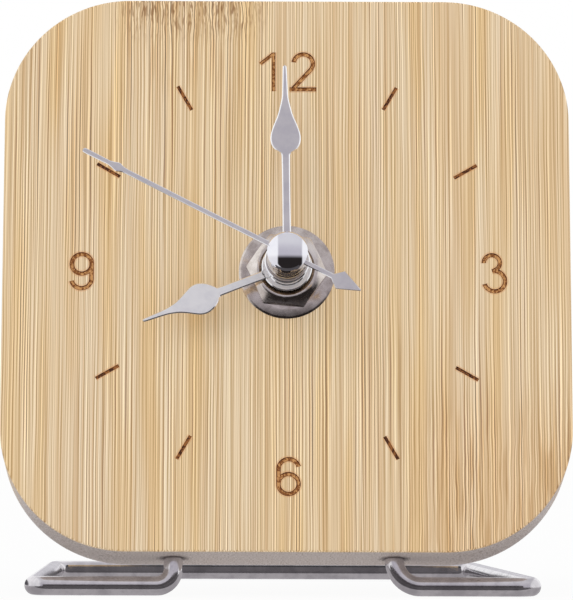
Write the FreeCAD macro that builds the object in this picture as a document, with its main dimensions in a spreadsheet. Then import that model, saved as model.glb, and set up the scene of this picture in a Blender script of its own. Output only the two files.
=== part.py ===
"""A desk clock: a bamboo dial plate leaning on a bent wire stand, with a quartz movement behind it.

Two frames are used, both in millimetres. The clock's own frame has +Z up, the dial facing -Y and its
origin under the middle of the clock, on the table. The dial frame has its origin at the centre of the
dial, on the plate's front face, with X to the right, Y up along the leaning plate and Z towards the
reader. Everything but the wire stand is drawn in the dial frame.
"""
import FreeCAD, Part
import math
import os
import re

import Sketcher
from FreeCAD import Placement, Rotation, Vector

SIZES = {
    # dial plate
    "plate_width": (95.0, "bamboo plate, side to side"),
    "plate_height": (95.0, "bamboo plate, along its slope"),
    "plate_thickness": (12.0, "bamboo plate"),
    "plate_corner": (21.0, "radius of the plate's four corners"),
    "plate_edge_break": (0.4, "sanded edge of the plate's faces"),
    "plate_clearance": (7.5, "height of the plate's lower front edge over the table"),
    "lean_angle": (13.0, "degrees that the plate leans back"),
    "shaft_hole": (4.3, "radius of the hole for the bush"),
    # wire stand
    "wire_radius": (1.6, "stainless wire"),
    "leg_spacing": (36.7, "between the two legs"),
    "leg_depth": (12.0, "length of leg inside the plate"),
    "leg_gap": (0.05, "glue gap round a leg"),
    "left_bend": (2.8, "bend radius under the left leg, on the wire's axis"),
    "right_bend": (4.4, "bend radius under the right leg, on the wire's axis"),
    "corner_bend": (2.6, "bend radius of the stand's corners, on the wire's axis"),
    "stand_front": (86.2, "overall width of the stand at the front"),
    "stand_rear": (77.8, "overall width of the stand at the rear"),
    "stand_depth": (64.0, "front run to rear run, between axes"),
    "stand_set": (0.35, "how far the holes for the legs sit to the left of the plate's middle"),
    "rear_set": (3.35, "how far the hand-bent rear run sits to the left of the legs"),
    # clamping the plate
    "washer_radius": (8.0, "washer on the dial"),
    "washer_bore": (4.2, "washer on the dial"),
    "washer_thickness": (0.6, "washer on the dial"),
    "washer_edge": (0.2, "broken rim of the washer"),
    "nut_flats": (11.8, "across the flats of the nut"),
    "nut_thickness": (2.2, "nut"),
    "nut_turn": (-5.3, "degrees that the nut ends up turned"),
    "nut_chamfer": (0.7, "corner chamfer, measured inwards from the flats"),
    "thread_gap": (0.05, "between the bush and the nut"),
    "bush_radius": (3.95, "threaded bush"),
    "bush_bore": (2.55, "threaded bush"),
    "bush_proud": (0.5, "bush showing in front of the nut"),
    "bush_chamfer": (0.3, "front edge of the bush"),
    "bush_collar": (5.5, "radius of the collar against the case"),
    "bush_collar_depth": (0.9, "thickness of the collar"),
    "bush_tail": (3.5, "radius of the tail pressed into the case"),
    "gasket_radius": (10.0, "rubber gasket behind the plate"),
    "gasket_thickness": (1.0, "rubber gasket"),
    "gasket_gap": (0.1, "between the gasket and the bush's collar"),
    # movement case
    "case_depth": (15.5, "front face to back face"),
    "case_corner": (3.0, "radius of the case's corners"),
    "case_wall": (1.5, "front wall of the case"),
    "case_side": (1.7, "side walls of the case"),
    "cover_thickness": (1.5, "rear cover of the movement"),
    "cover_ledge": (0.7, "width of the ledge that the cover sits on"),
    "cover_gap": (0.1, "between the cover's edge and the case"),
    "hook_width": (5.0, "cover's snap hooks"),
    "hook_thickness": (0.8, "cover's snap hooks"),
    "hook_length": (4.0, "cover's snap hooks"),
    "hook_spacing": (30.0, "between the two snap hooks"),
    "hook_gap": (0.2, "between a hook and the wall"),
    "divider": (1.5, "wall between the works and the battery"),
    # battery bay
    "bay_end": (1.75, "wall beyond the contacts, at each end of the battery"),
    "bay_wall": (1.0, "wall under the battery"),
    "bay_floor": (1.2, "wall in front of the battery"),
    "cell_radius": (7.25, "battery cell"),
    "cell_length": (50.5, "battery cell with its button"),
    "button_radius": (2.75, "positive button of the cell"),
    "button_length": (1.0, "positive button of the cell"),
    "cell_gap": (0.1, "between the cell and its bay"),
    # contacts
    "contact_sheet": (0.4, "thickness of the contact strips"),
    "contact_gap": (0.05, "between a contact and the bay's end wall"),
    "contact_height": (10.0, "contact plate, along the case"),
    "contact_depth": (9.0, "contact plate, front to back"),
    "strip_width": (1.4, "strip that runs up to the circuit board"),
    "strip_slot": (0.2, "room on each side of the strip in the divider"),
    "strip_overlap": (2.5, "strip lying on the circuit board"),
    "leaf_height": (0.55, "spring leaf of the negative contact"),
    "leaf_length": (6.0, "spring leaf of the negative contact"),
    # hands
    "hand_gap": (0.45, "between the bush and the hour hand"),
    "hand_sheet": (0.4, "sheet of the hour and minute hands"),
    "hour_disc": (4.2, "radius of the hour hand's disc"),
    "hour_collet": (3.2, "radius of the hour hand's collet"),
    "minute_disc": (3.75, "radius of the minute hand's disc"),
    "minute_collet": (2.4, "radius of the minute hand's collet"),
    "collet_height": (1.2, "collets of the hour and minute hands"),
    "minute_rise": (3.85, "from the hour hand's sheet to the minute hand's"),
    "minute_proud": (0.2, "minute pipe showing in front of its hand"),
    "second_rise": (4.9, "from the minute hand's sheet to the second hand's"),
    "second_sheet": (0.25, "sheet of the second hand"),
    "second_disc": (2.8, "radius of the second hand's disc"),
    "collar_gap": (0.6, "between the minute hand and the second hand's collar"),
    "cap_radius": (3.35, "bright cap over the hands"),
    "cap_wall": (1.1, "straight wall of the cap, under its dome"),
    "cap_dome": (1.6, "height of the cap's dome"),
    "cap_bore_depth": (1.2, "blind hole in the cap for the arbor"),
    "hour_length": (25.3, "axis to tip"),
    "hour_stem": (1.6, "width of the hour hand's stem"),
    "hour_neck": (11.4, "axis to the start of the spade"),
    "hour_waist": (20.6, "axis to the end of the spade"),
    "hour_spade": (5.3, "width of the spade"),
    "hour_waist_width": (1.35, "width at the end of the spade"),
    "hour_tip": (0.5, "width of the tip"),
    "hour_angle": (248.5, "degrees past twelve at rest"),
    "minute_length": (33.2, "axis to tip"),
    "minute_stem": (1.45, "width of the minute hand's stem"),
    "minute_neck": (17.6, "axis to the start of the spade"),
    "minute_waist": (26.2, "axis to the end of the spade"),
    "minute_spade": (5.1, "width of the spade"),
    "minute_waist_width": (1.35, "width at the end of the spade"),
    "minute_tip": (0.45, "width of the tip"),
    "minute_angle": (359.2, "degrees past twelve at rest"),
    "second_length": (37.4, "axis to tip"),
    "second_stem": (0.8, "width of the second hand at its disc"),
    "second_thin": (0.6, "width just before the bead"),
    "second_tip": (0.35, "width of the tip"),
    "bead_start": (29.9, "axis to the start of the bead"),
    "bead_middle": (31.5, "axis to the bead's widest place"),
    "bead_end": (33.0, "axis to the end of the bead"),
    "bead_width": (1.3, "widest place of the bead"),
    "tail_length": (13.65, "axis to the tip of the counterweight"),
    "tail_root": (8.0, "axis to the start of the counterweight"),
    "tail_shoulder": (9.8, "axis to the counterweight's widest place"),
    "tail_width": (3.45, "widest place of the counterweight"),
    "tail_tip": (0.25, "width of the counterweight's tip"),
    "second_angle": (297.5, "degrees past twelve at rest"),
    # train
    "wheel_thickness": (1.0, "all the wheels"),
    "wheel_space": (0.5, "between one wheel's layer and the next"),
    "pinion_reach": (0.1, "pinion running past the wheel that it drives"),
    "running_gap": (0.05, "radial clearance of every pivot and pipe"),
    "press_gap": (0.01, "radial clearance of what is pressed on"),
    "arbor_radius": (0.4, "arbors of the train"),
    "arbor_end_gap": (0.1, "between an arbor's end and its socket"),
    "socket_depth": (1.0, "pivot sockets in the case and the cover"),
    "second_arbor": (0.5, "radius of the arbor that carries the second hand"),
    "minute_pipe": (1.55, "outer radius of the minute pipe"),
    "hour_pipe": (2.5, "outer radius of the hour pipe"),
    "post_radius": (0.6, "post that the minute wheel turns on"),
    "setting_radius": (0.9, "setting arbor"),
    "setting_turn_proud": (0.2, "between the cover and the setting knob"),
    "third_distance": (9.52, "dial axis to the third wheel"),
    "third_bearing": (150.0, "degrees from three o'clock, against the clock"),
    "inter_distance": (9.6, "dial axis to the intermediate wheel"),
    "inter_bearing": (75.0, "degrees from three o'clock, against the clock"),
    "rotor_distance": (6.72, "intermediate wheel to the rotor"),
    "rotor_bearing": (20.0, "degrees from three o'clock, against the clock"),
    "minute_distance": (8.4, "dial axis to the minute wheel"),
    "minute_bearing": (-10.0, "degrees from three o'clock, against the clock"),
    "setting_distance": (8.4, "minute wheel to the setting arbor"),
    "setting_bearing": (-20.0, "degrees from three o'clock, against the clock"),
    "knob_radius": (4.8, "setting knob"),
    "knob_thickness": (2.8, "setting knob"),
    "knob_flute": (0.55, "depth of the knob's flutes"),
    "knob_edge": (0.4, "chamfer of the knob"),
    # stepping motor
    "magnet_radius": (2.6, "rotor magnet"),
    "magnet_thickness": (1.6, "rotor magnet"),
    "magnet_air_gap": (0.4, "between the magnet and the stator"),
    "stator_wall": (1.2, "stator round the magnet"),
    "stator_sheet": (1.0, "stator"),
    "stator_span": (24.0, "stator, left to right"),
    "stator_left": (3.5, "dial axis to the stator's left edge"),
    "stator_arm": (3.5, "width of the stator's arms"),
    "stator_leg": (4.2, "width of the stator's legs"),
    "stator_top": (23.0, "dial axis to the top of the stator"),
    "stator_post": (1.2, "radius of the posts that carry the stator"),
    "core_height": (4.0, "coil core"),
    "core_thickness": (1.0, "coil core"),
    "coil_length": (14.5, "bobbin, flange to flange"),
    "coil_radius": (3.2, "winding"),
    "flange_radius": (3.3, "bobbin flanges"),
    "flange_thickness": (0.8, "bobbin flanges"),
    "bobbin_wall": (0.6, "bobbin tube"),
    "bobbin_gap": (0.05, "between the bobbin and the core"),
    # circuit
    "board_thickness": (1.0, "circuit board"),
    "board_bottom": (14.5, "dial axis to the board's lower edge"),
    "board_top": (24.9, "dial axis to the board's upper edge"),
    "board_side_gap": (0.2, "between the board and the case's side"),
    "crystal_radius": (1.0, "quartz crystal's can"),
    "crystal_length": (6.0, "quartz crystal's can"),
    "crystal_left": (22.0, "dial axis to the can's left end"),
    "blob_radius": (3.0, "epoxy blob over the chip"),
    "blob_top": (2.0, "radius of the blob's flat top"),
    "blob_height": (0.9, "epoxy blob"),
    "blob_left": (11.0, "dial axis to the blob"),
}

# lengths that follow from the sizes; a depth is measured from the dial's face to the rear
DERIVED = {
    "case_width": "cell_length + 2*(leaf_height + contact_sheet + contact_gap + bay_end)",
    "case_front": "plate_thickness + gasket_thickness",
    "case_inside": "case_front + case_wall",
    "case_back": "case_front + case_depth",
    "cover_inside": "case_back - cover_thickness",
    "works_half": "case_width/2 - case_side",
    "recess_half": "works_half + cover_ledge",
    "bay_height": "2*(cell_radius + cell_gap)",
    "bay_bottom": "bay_wall - case_width/2",
    "bay_top": "bay_bottom + bay_height",
    "works_bottom": "bay_top + divider",
    "recess_bottom": "works_bottom - cover_ledge",
    "cell_depth": "case_front + bay_floor + cell_gap/2 + cell_radius",
    "cell_y": "bay_bottom + bay_height/2",
    "layer": "wheel_thickness + wheel_space",
    "hour_depth": "case_inside + wheel_space",
    "minute_depth": "hour_depth + layer",
    "centre_depth": "minute_depth + layer",
    "third_depth": "centre_depth + layer",
    "second_depth": "third_depth + layer",
    "inter_depth": "second_depth + layer",
    "core_depth": "second_depth + stator_sheet",
    "core_y": "stator_top - core_height/2",
    "core_middle": "core_depth + core_thickness/2",
    "coil_x": "stator_span/2 - stator_left",
    "board_depth": "cover_inside - board_thickness",
    "strip_depth": "board_depth - strip_width",
    "arbor_front": "case_inside - socket_depth + arbor_end_gap",
    "arbor_rear": "cover_inside + socket_depth - arbor_end_gap",
    "socket_radius": "arbor_radius + running_gap",
    "third_x": "third_distance*cos(third_bearing)",
    "third_y": "third_distance*sin(third_bearing)",
    "inter_x": "inter_distance*cos(inter_bearing)",
    "inter_y": "inter_distance*sin(inter_bearing)",
    "rotor_x": "inter_x + rotor_distance*cos(rotor_bearing)",
    "rotor_y": "inter_y + rotor_distance*sin(rotor_bearing)",
    "minute_x": "minute_distance*cos(minute_bearing)",
    "minute_y": "minute_distance*sin(minute_bearing)",
    "setting_x": "minute_x + setting_distance*cos(setting_bearing)",
    "setting_y": "minute_y + setting_distance*sin(setting_bearing)",
    "bush_end": "washer_thickness + nut_thickness + bush_proud",
    "hour_plane": "bush_end + hand_gap",
    "hour_top": "hour_plane + hand_sheet + collet_height",
    "minute_plane": "hour_plane + minute_rise",
    "minute_top": "minute_plane + hand_sheet",
    "second_plane": "minute_plane + second_rise",
    "collar_bottom": "minute_top + collar_gap",
    "cap_bottom": "second_plane + second_sheet",
    "cap_top": "cap_bottom + cap_wall + cap_dome",
    "dome_sphere": "(cap_radius^2 + cap_dome^2)/(2*cap_dome)",
    "leg_drop": "(plate_clearance - plate_thickness/2*sin(lean_angle) - wire_radius)/cos(lean_angle)",
    "front_run": "plate_thickness/2*cos(lean_angle) - leg_drop*sin(lean_angle)",
    "stand_back": "front_run + stand_depth + wire_radius",
    "cap_reach": "(cap_top - dome_sphere)*cos(lean_angle) + dome_sphere",
    "cap_front": "plate_height/2*sin(lean_angle) - cap_reach",
    "plate_y": "0 - (cap_front + stand_back)/2",
    "dial_y": "plate_y + plate_height/2*sin(lean_angle)",
    "dial_z": "plate_clearance + plate_height/2*cos(lean_angle)",
}

# teeth of each wheel and of the pinion that drives it or is driven by it
ROTOR_PINION_TEETH, INTER_WHEEL_TEETH = 8, 48
INTER_PINION_TEETH, SECOND_WHEEL_TEETH = 8, 40
SECOND_PINION_TEETH, THIRD_WHEEL_TEETH = 8, 60
THIRD_PINION_TEETH, CENTRE_WHEEL_TEETH = 8, 64
MINUTE_PINION_TEETH, MINUTE_WHEEL_TEETH = 12, 36
HOUR_PINION_TEETH, HOUR_WHEEL_TEETH = 10, 40
SETTING_PINION_TEETH = 12
KNOB_FLUTE_COUNT = 20

# tooth forms: addendum and dedendum as shares of the module, half widths as shares of the pitch
PINION_SHARES = {"addendum": 0.75, "dedendum": 1.1, "tip": 0.11, "root": 0.24}
WHEEL_SHARES = {"addendum": 0.80, "dedendum": 1.0, "tip": 0.0, "root": 0.36}

# bands that a bend of the wire is made of
BEND_BANDS = 5

# side of a spade, as shares of its length and of its half width, between its neck and its waist
SPADE_SHARES = ((0.12, 0.55), (0.21, 0.85), (0.36, 1.0), (0.53, 0.85), (0.77, 0.52))

doc = FreeCAD.newDocument("desk_clock")
sheet = doc.addObject("Spreadsheet::Sheet", "sizes")
parts = []


def fill_sheet():
    """Write every driving dimension into the sheet, with its name and its note."""
    for row, (name, (value, note)) in enumerate(SIZES.items(), start=1):
        sheet.set(f"A{row}", name)
        sheet.set(f"B{row}", str(value))
        sheet.setAlias(f"B{row}", name)
        sheet.set(f"C{row}", note)
    doc.recompute()


def formula(text):
    """Turn a formula of size names into an expression on the sheet."""
    def swap(match):
        word = match.group(0)
        if word in DERIVED:
            return "(" + formula(DERIVED[word]) + ")"
        return "sizes." + word if word in SIZES else word

    return re.sub(r"[a-z][a-z0-9_]*", swap, text)


def size(text):
    """The value of a formula of size names."""
    return float(sheet.evalExpression(formula(text)))


def dial_frame(x="0", y="0", z="0"):
    """Placement of the dial frame, moved to a point given in the dial frame."""
    centre = Vector(0, size("dial_y"), size("dial_z"))
    base = Placement(centre, Rotation(Vector(1, 0, 0), 90 - size("lean_angle")))
    return base.multiply(Placement(Vector(size(x), size(y), size(z)), Rotation()))


def place(item, x="0", y="0", z="0"):
    """Bind an item's placement to a point of the dial frame."""
    item.Placement = dial_frame(x, y, z)
    across = f"({y})*sin(lean_angle) - ({z})*cos(lean_angle)"
    upwards = f"({y})*cos(lean_angle) + ({z})*sin(lean_angle)"
    item.setExpression("Placement.Base.x", formula(x))
    item.setExpression("Placement.Base.y", formula(f"dial_y + {across}"))
    item.setExpression("Placement.Base.z", formula(f"dial_z + {upwards}"))
    item.setExpression("Placement.Rotation.Angle", formula("90 - lean_angle"))


def keep(item, label):
    """Name a finished sub-part, which gives its node its name."""
    item.Label = label
    parts.append(item)
    return item


def new_body(label, x="0", y="0", z="0"):
    """A body placed in the dial frame."""
    body = keep(doc.addObject("PartDesign::Body", label), label)
    place(body, x, y, z)
    return body


def new_sketch(body, name, plane="XY_Plane", height="0"):
    """A sketch on one of the body's own planes, lifted along the plane's normal."""
    support = next(item for item in body.Origin.OriginFeatures if item.Role == plane)
    sketch = body.newObject("Sketcher::SketchObject", f"{body.Label}_{name}")
    sketch.AttachmentSupport = [(support, "")]
    sketch.MapMode = "FlatFace"
    sketch.setExpression("AttachmentOffset.Base.z", formula(height))
    return sketch


def pin_point(sketch, item, end, x, y, here):
    """Hold one point of a sketch at a place given by two formulas."""
    for kind, text, value in (("DistanceX", x, here.x), ("DistanceY", y, here.y)):
        number = sketch.addConstraint(Sketcher.Constraint(kind, -1, 1, item, end, value))
        sketch.setExpression(f"Constraints[{number}]", formula(text))


def add_outline(sketch, corners):
    """A closed outline of straight sides through corners, each given by two formulas."""
    points = [Vector(size(x), size(y), 0) for x, y in corners]
    first = sketch.GeometryCount
    count = len(points)
    for number in range(count):
        sketch.addGeometry(Part.LineSegment(points[number], points[(number + 1) % count]), False)
    for number in range(count):
        following = first + (number + 1) % count
        sketch.addConstraint(Sketcher.Constraint("Coincident", first + number, 2, following, 1))
    for number, (x, y) in enumerate(corners):
        pin_point(sketch, first + number, 1, x, y, points[number])
    return sketch


def add_rectangle(sketch, left, right, bottom, top):
    """A rectangle between four formulas."""
    return add_outline(sketch, [(left, bottom), (right, bottom), (right, top), (left, top)])


def add_circle(sketch, radius, x="0", y="0"):
    """A circle with its centre and its radius given by formulas."""
    centre = Vector(size(x), size(y), 0)
    item = sketch.addGeometry(Part.Circle(centre, Vector(0, 0, 1), size(radius)), False)
    pin_point(sketch, item, 3, x, y, centre)
    number = sketch.addConstraint(Sketcher.Constraint("Radius", item, size(radius)))
    sketch.setExpression(f"Constraints[{number}]", formula(radius))
    return sketch


def pad(body, sketch, length, backwards=False):
    """Add a sketch's outline, pushed along its normal, or against it."""
    feature = body.newObject("PartDesign::Pad", sketch.Label + "_pad")
    feature.Profile = sketch
    feature.setExpression("Length", formula(length))
    feature.Reversed = backwards
    doc.recompute()
    return feature


def pocket(body, sketch, depth, forwards=False):
    """Cut a sketch's outline against its normal, or along it, and check that it took something away."""
    before = body.Shape.Volume
    feature = body.newObject("PartDesign::Pocket", sketch.Label + "_pocket")
    feature.Profile = sketch
    feature.setExpression("Length", formula(depth))
    feature.Reversed = forwards
    doc.recompute()
    if not body.Shape.Volume < before:
        raise RuntimeError(f"{sketch.Label} cuts nothing")
    return feature


def turn(body, sketch, kind="Revolution", axis="V_Axis"):
    """Turn a profile a full turn round one of its sketch's axes, as material or as a cut."""
    feature = body.newObject("PartDesign::" + kind, sketch.Label + "_turned")
    feature.Profile = sketch
    feature.ReferenceAxis = (sketch, [axis])
    feature.Angle = 360
    doc.recompute()
    return feature


def edge_names(feature, test):
    """Names of a feature's edges that pass a test."""
    return [f"Edge{n}" for n, edge in enumerate(feature.Shape.Edges, start=1) if test(edge)]


def dress(body, feature, kind, names, amount):
    """Fillet or chamfer some edges of a feature."""
    dressed = body.newObject("PartDesign::" + kind, feature.Label + "_" + kind.lower())
    dressed.Base = (feature, names)
    dressed.setExpression("Radius" if kind == "Fillet" else "Size", formula(amount))
    doc.recompute()
    return dressed


def is_along_z(edge):
    """True for a straight edge along Z."""
    ends = [vertex.Point for vertex in edge.Vertexes]
    return len(ends) == 2 and ends[0].sub(ends[1]).cross(Vector(0, 0, 1)).Length < Part.Precision.confusion()


def lies_at(edge, height):
    """True for an edge that lies flat at a height."""
    box = edge.BoundBox
    return max(abs(box.ZMin - height), abs(box.ZMax - height)) < Part.Precision.approximation()


def ring(body, name, outer, inner, bottom, length):
    """A flat ring standing on a plane of the dial frame."""
    sketch = new_sketch(body, name, height=bottom)
    add_circle(sketch, outer)
    add_circle(sketch, inner)
    return pad(body, sketch, length)


def primitive(kind, name, x="0", y="0", z="0", rotation=None, **sizes):
    """One of the primitive solids, with its sizes and its place given by formulas."""
    item = doc.addObject("Part::" + kind, name)
    for key, text in sizes.items():
        item.setExpression(key, formula(text))
    item.Placement = Placement(Vector(size(x), size(y), size(z)), rotation or Rotation())
    for key, text in (("x", x), ("y", y), ("z", z)):
        item.setExpression("Placement.Base." + key, formula(text))
    return item


def block(name, left, right, bottom, top, rear, front):
    """A box between six formulas of the dial frame."""
    spans = {"Length": (left, right), "Width": (bottom, top), "Height": (rear, front)}
    sides = {key: f"({high}) - ({low})" for key, (low, high) in spans.items()}
    return primitive("Box", name, left, bottom, rear, **sides)


def combine(kind, label, first, second):
    """A boolean of two solids, placed in the dial frame as a finished sub-part."""
    item = doc.addObject("Part::" + kind, label)
    if kind == "MultiFuse":
        item.Shapes = [first] + second
    else:
        item.Base = first
        item.Tool = second
    return item


def feature_part(label, shape, x="0", y="0"):
    """A finished sub-part whose solid is drawn round an axis of the dial frame."""
    item = keep(doc.addObject("Part::Feature", label), label)
    item.Shape = shape
    item.Placement = dial_frame(x, y)
    return item


def polar(radius, angle):
    """Point of a circle round the origin, with the angle in radians."""
    return Vector(radius * math.cos(angle), radius * math.sin(angle), 0)


def tube(outer, inner, front, rear):
    """A tube between two depths behind the dial's face, or a rod where inner is zero."""
    start = Vector(0, 0, -size(rear))
    length = size(f"({rear}) - ({front})")
    solid = Part.makeCylinder(size(outer), length, start)
    return solid.cut(Part.makeCylinder(size(inner), length, start)) if size(inner) > 0 else solid


def toothed_wheel(count, module, shares, front, rear, bore, phase):
    """A wheel with straight-sided or pointed teeth, between two depths, one tooth at the phase angle."""
    pitch_radius = count * module / 2
    tip = pitch_radius + shares["addendum"] * module
    root = pitch_radius - shares["dedendum"] * module
    pitch = math.pi * module
    flank = [(root, -shares["root"]), (tip, -shares["tip"]), (tip, shares["tip"]), (root, shares["root"])]
    if shares["tip"] == 0:
        flank.pop(1)
    corners = []
    for tooth in range(count):
        angle = phase + 2 * math.pi * tooth / count
        corners += [polar(radius, angle + share * pitch / radius) for radius, share in flank]
    face = Part.Face(Part.makePolygon(corners + corners[:1]))
    solid = face.extrude(Vector(0, 0, size(f"({rear}) - ({front})")))
    solid.translate(Vector(0, 0, -size(rear)))
    return solid.cut(tube(bore, "0", f"({front}) - wheel_thickness", f"({rear}) + wheel_thickness"))


def mesh_phases(bearing, wheel_count):
    """Tooth angles of a driving pinion and of the wheel that lies from it along a bearing, in mesh."""
    angle = math.radians(size(bearing))
    return angle, angle + math.pi + math.pi / wheel_count


def joined(solids):
    """Solids fused to one, without the seams between faces that run on."""
    return solids[0].fuse(solids[1:]).removeSplitter()


def arbor():
    """An arbor from its socket in the case to its socket in the cover."""
    return tube("arbor_radius", "0", "arbor_front", "arbor_rear")


def dial_plate():
    """The bamboo plate, with the shaft hole and the two blind holes for the legs."""
    body = new_body("dial_plate")
    outline = new_sketch(body, "outline")
    add_rectangle(outline, "0-plate_width/2", "plate_width/2", "0-plate_height/2", "plate_height/2")
    slab = pad(body, outline, "plate_thickness", backwards=True)
    rounded = dress(body, slab, "Fillet", edge_names(slab, is_along_z), "plate_corner")
    faces = (0, -size("plate_thickness"))
    rims = edge_names(rounded, lambda edge: any(lies_at(edge, height) for height in faces))
    dress(body, rounded, "Chamfer", rims, "plate_edge_break")
    pocket(body, add_circle(new_sketch(body, "shaft_hole"), "shaft_hole"), "plate_thickness")
    legs = new_sketch(body, "leg_holes", "XZ_Plane", "plate_height/2")
    for side in ("0-leg_spacing/2 - stand_set", "leg_spacing/2 - stand_set"):
        add_circle(legs, "wire_radius + leg_gap", side, "0-plate_thickness/2")
    pocket(body, legs, "leg_depth + leg_gap")


def bent_wire(route, bends, radius):
    """A round wire along a route of points, with a bend of its own radius at each inner point."""
    solids = []
    start = route[0]
    for before, corner, after, bend in zip(route, route[1:], route[2:], bends):
        inward = corner.sub(before).normalize()
        outward = after.sub(corner).normalize()
        turned = inward.getAngle(outward)
        trim = bend * math.tan(turned / 2)
        first = corner.sub(inward * trim)
        solids.append(Part.makeCylinder(radius, first.distanceToPoint(start), start, inward))
        axis = inward.cross(outward).normalize()
        centre = first.add(axis.cross(inward) * bend)
        rings = []
        for step in range(BEND_BANDS + 1):
            ring_wire = Part.Wire(Part.Circle(first, inward, radius).toShape())
            ring_wire.rotate(centre, axis, math.degrees(turned) * step / BEND_BANDS)
            rings.append(ring_wire)
        solids.append(Part.makeLoft(rings, True, True))
        start = corner.add(outward * trim)
    last = route[-1].sub(start)
    solids.append(Part.makeCylinder(radius, last.Length, start, last))
    return joined(solids)


def wire_stand():
    """One length of wire: up-turned legs at the front, and a loop round to the rear on the table."""
    lean = math.radians(size("lean_angle"))
    up = Vector(0, math.sin(lean), math.cos(lean))
    wire = size("wire_radius")
    half_leg = size("leg_spacing/2")
    front = size("plate_y + front_run")
    rear = front + size("stand_depth")
    half_front = size("stand_front/2") - wire
    half_rear = size("stand_rear/2") - wire
    shift = size("rear_set")
    rise = up * size("leg_drop + leg_depth")
    route = [
        Vector(-half_leg, front, wire).add(rise),
        Vector(-half_leg, front, wire),
        Vector(-half_front, front, wire),
        Vector(-half_rear - shift, rear, wire),
        Vector(half_rear - shift, rear, wire),
        Vector(half_front, front, wire),
        Vector(half_leg, front, wire),
        Vector(half_leg, front, wire).add(rise),
    ]
    route = [point.sub(Vector(size("stand_set"), 0, 0)) for point in route]
    bends = [size("left_bend")] + [size("corner_bend")] * 4 + [size("right_bend")]
    item = keep(doc.addObject("Part::Feature", "wire_stand"), "wire_stand")
    item.Shape = bent_wire(route, bends, wire)


def dial_washer():
    """The washer between the nut and the dial, with its front rim broken."""
    body = new_body("dial_washer")
    plate = ring(body, "ring", "washer_radius", "washer_bore", "0", "washer_thickness")
    top = size("washer_thickness")
    rim = edge_names(plate, lambda edge: lies_at(edge, top) and edge.Curve.Radius > size("washer_bore"))
    dress(body, plate, "Chamfer", rim, "washer_edge")


def hex_nut():
    """The nut that clamps the plate, with its corners chamfered on the front."""
    body = new_body("hex_nut")
    outline = new_sketch(body, "hexagon", height="washer_thickness")
    corners = []
    for corner in range(6):
        angle = f"({60 * corner} + nut_turn)"
        corners.append((f"nut_flats/2/cos(30)*cos{angle}", f"nut_flats/2/cos(30)*sin{angle}"))
    pad(body, add_outline(outline, corners), "nut_thickness")
    bore = new_sketch(body, "bore", height="washer_thickness + nut_thickness")
    pocket(body, add_circle(bore, "bush_radius + thread_gap"), "nut_thickness")
    top = "washer_thickness + nut_thickness"
    inner, outer = "nut_flats/2 - nut_chamfer", "nut_flats"
    low = f"{top} - (({outer}) - ({inner}))*tan(30)"
    cone = new_sketch(body, "chamfer", "XZ_Plane")
    turn(body, add_outline(cone, [(inner, top), (outer, top), (outer, low)]), "Groove")


def threaded_bush():
    """The bush that passes through the plate, with a collar on the case and a tail pressed into it."""
    body = new_body("threaded_bush")
    collar = "0 - (case_front - bush_collar_depth)"
    profile = [
        ("bush_bore", "bush_end"),
        ("bush_radius - bush_chamfer", "bush_end"),
        ("bush_radius", "bush_end - bush_chamfer"),
        ("bush_radius", collar),
        ("bush_collar", collar),
        ("bush_collar", "0-case_front"),
        ("bush_tail", "0-case_front"),
        ("bush_tail", "0-case_inside"),
        ("bush_bore", "0-case_inside"),
    ]
    turn(body, add_outline(new_sketch(body, "profile", "XZ_Plane"), profile))


def rubber_gasket():
    """The gasket between the movement and the back of the plate."""
    body = new_body("rubber_gasket")
    ring(body, "ring", "gasket_radius", "bush_collar + gasket_gap", "0-case_front", "gasket_thickness")


def movement_case():
    """The front shell, with the works above, the battery bay below, pivot sockets and posts."""
    body = new_body("movement_case")
    half = "case_width/2"
    outline = new_sketch(body, "outline", height="0-case_front")
    add_rectangle(outline, f"0-{half}", half, f"0-{half}", half)
    block_pad = pad(body, outline, "case_depth", backwards=True)
    dress(body, block_pad, "Fillet", edge_names(block_pad, is_along_z), "case_corner")
    rear = "0-case_back"
    recess = new_sketch(body, "cover_recess", height=rear)
    add_rectangle(recess, "0-recess_half", "recess_half", "recess_bottom", "recess_half")
    pocket(body, recess, "cover_thickness", forwards=True)
    works = new_sketch(body, "works", height=rear)
    add_rectangle(works, "0-works_half", "works_half", "works_bottom", "works_half")
    pocket(body, works, "case_depth - case_wall", forwards=True)
    bay = new_sketch(body, "bay", height=rear)
    left = "0 - (cell_length/2 + leaf_height + contact_sheet + contact_gap)"
    right = "cell_length/2 + contact_sheet + contact_gap"
    add_rectangle(bay, left, right, "bay_bottom", "bay_top")
    pocket(body, bay, "case_depth - bay_floor", forwards=True)
    slots = new_sketch(body, "strip_slots", height=rear)
    for strip in (strip_left("positive"), strip_left("negative")):
        low, high = f"{strip} - strip_slot", f"{strip} + contact_sheet + strip_slot"
        add_rectangle(slots, low, high, "bay_top - contact_gap", "works_bottom + contact_gap")
    pocket(body, slots, "case_back - strip_depth + strip_slot", forwards=True)
    bush_hole = new_sketch(body, "bush_hole", height="0-case_inside")
    pocket(body, add_circle(bush_hole, "bush_tail"), "case_wall", forwards=True)
    sockets = new_sketch(body, "sockets", height="0-case_inside")
    for axis in ("third", "inter", "rotor"):
        add_circle(sockets, "socket_radius", axis + "_x", axis + "_y")
    add_circle(sockets, "setting_radius + running_gap", "setting_x", "setting_y")
    pocket(body, sockets, "socket_depth", forwards=True)
    post = new_sketch(body, "minute_post", height="0-case_inside")
    add_circle(post, "post_radius", "minute_x", "minute_y")
    pad(body, post, "minute_depth + wheel_thickness + pinion_reach - case_inside", backwards=True)
    posts = new_sketch(body, "stator_posts", height="0-case_inside")
    for x in ("stator_leg/2 - stator_left", "stator_span - stator_left - stator_leg/2"):
        add_circle(posts, "stator_post", x, "core_y")
    pad(body, posts, "second_depth - case_inside", backwards=True)


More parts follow.
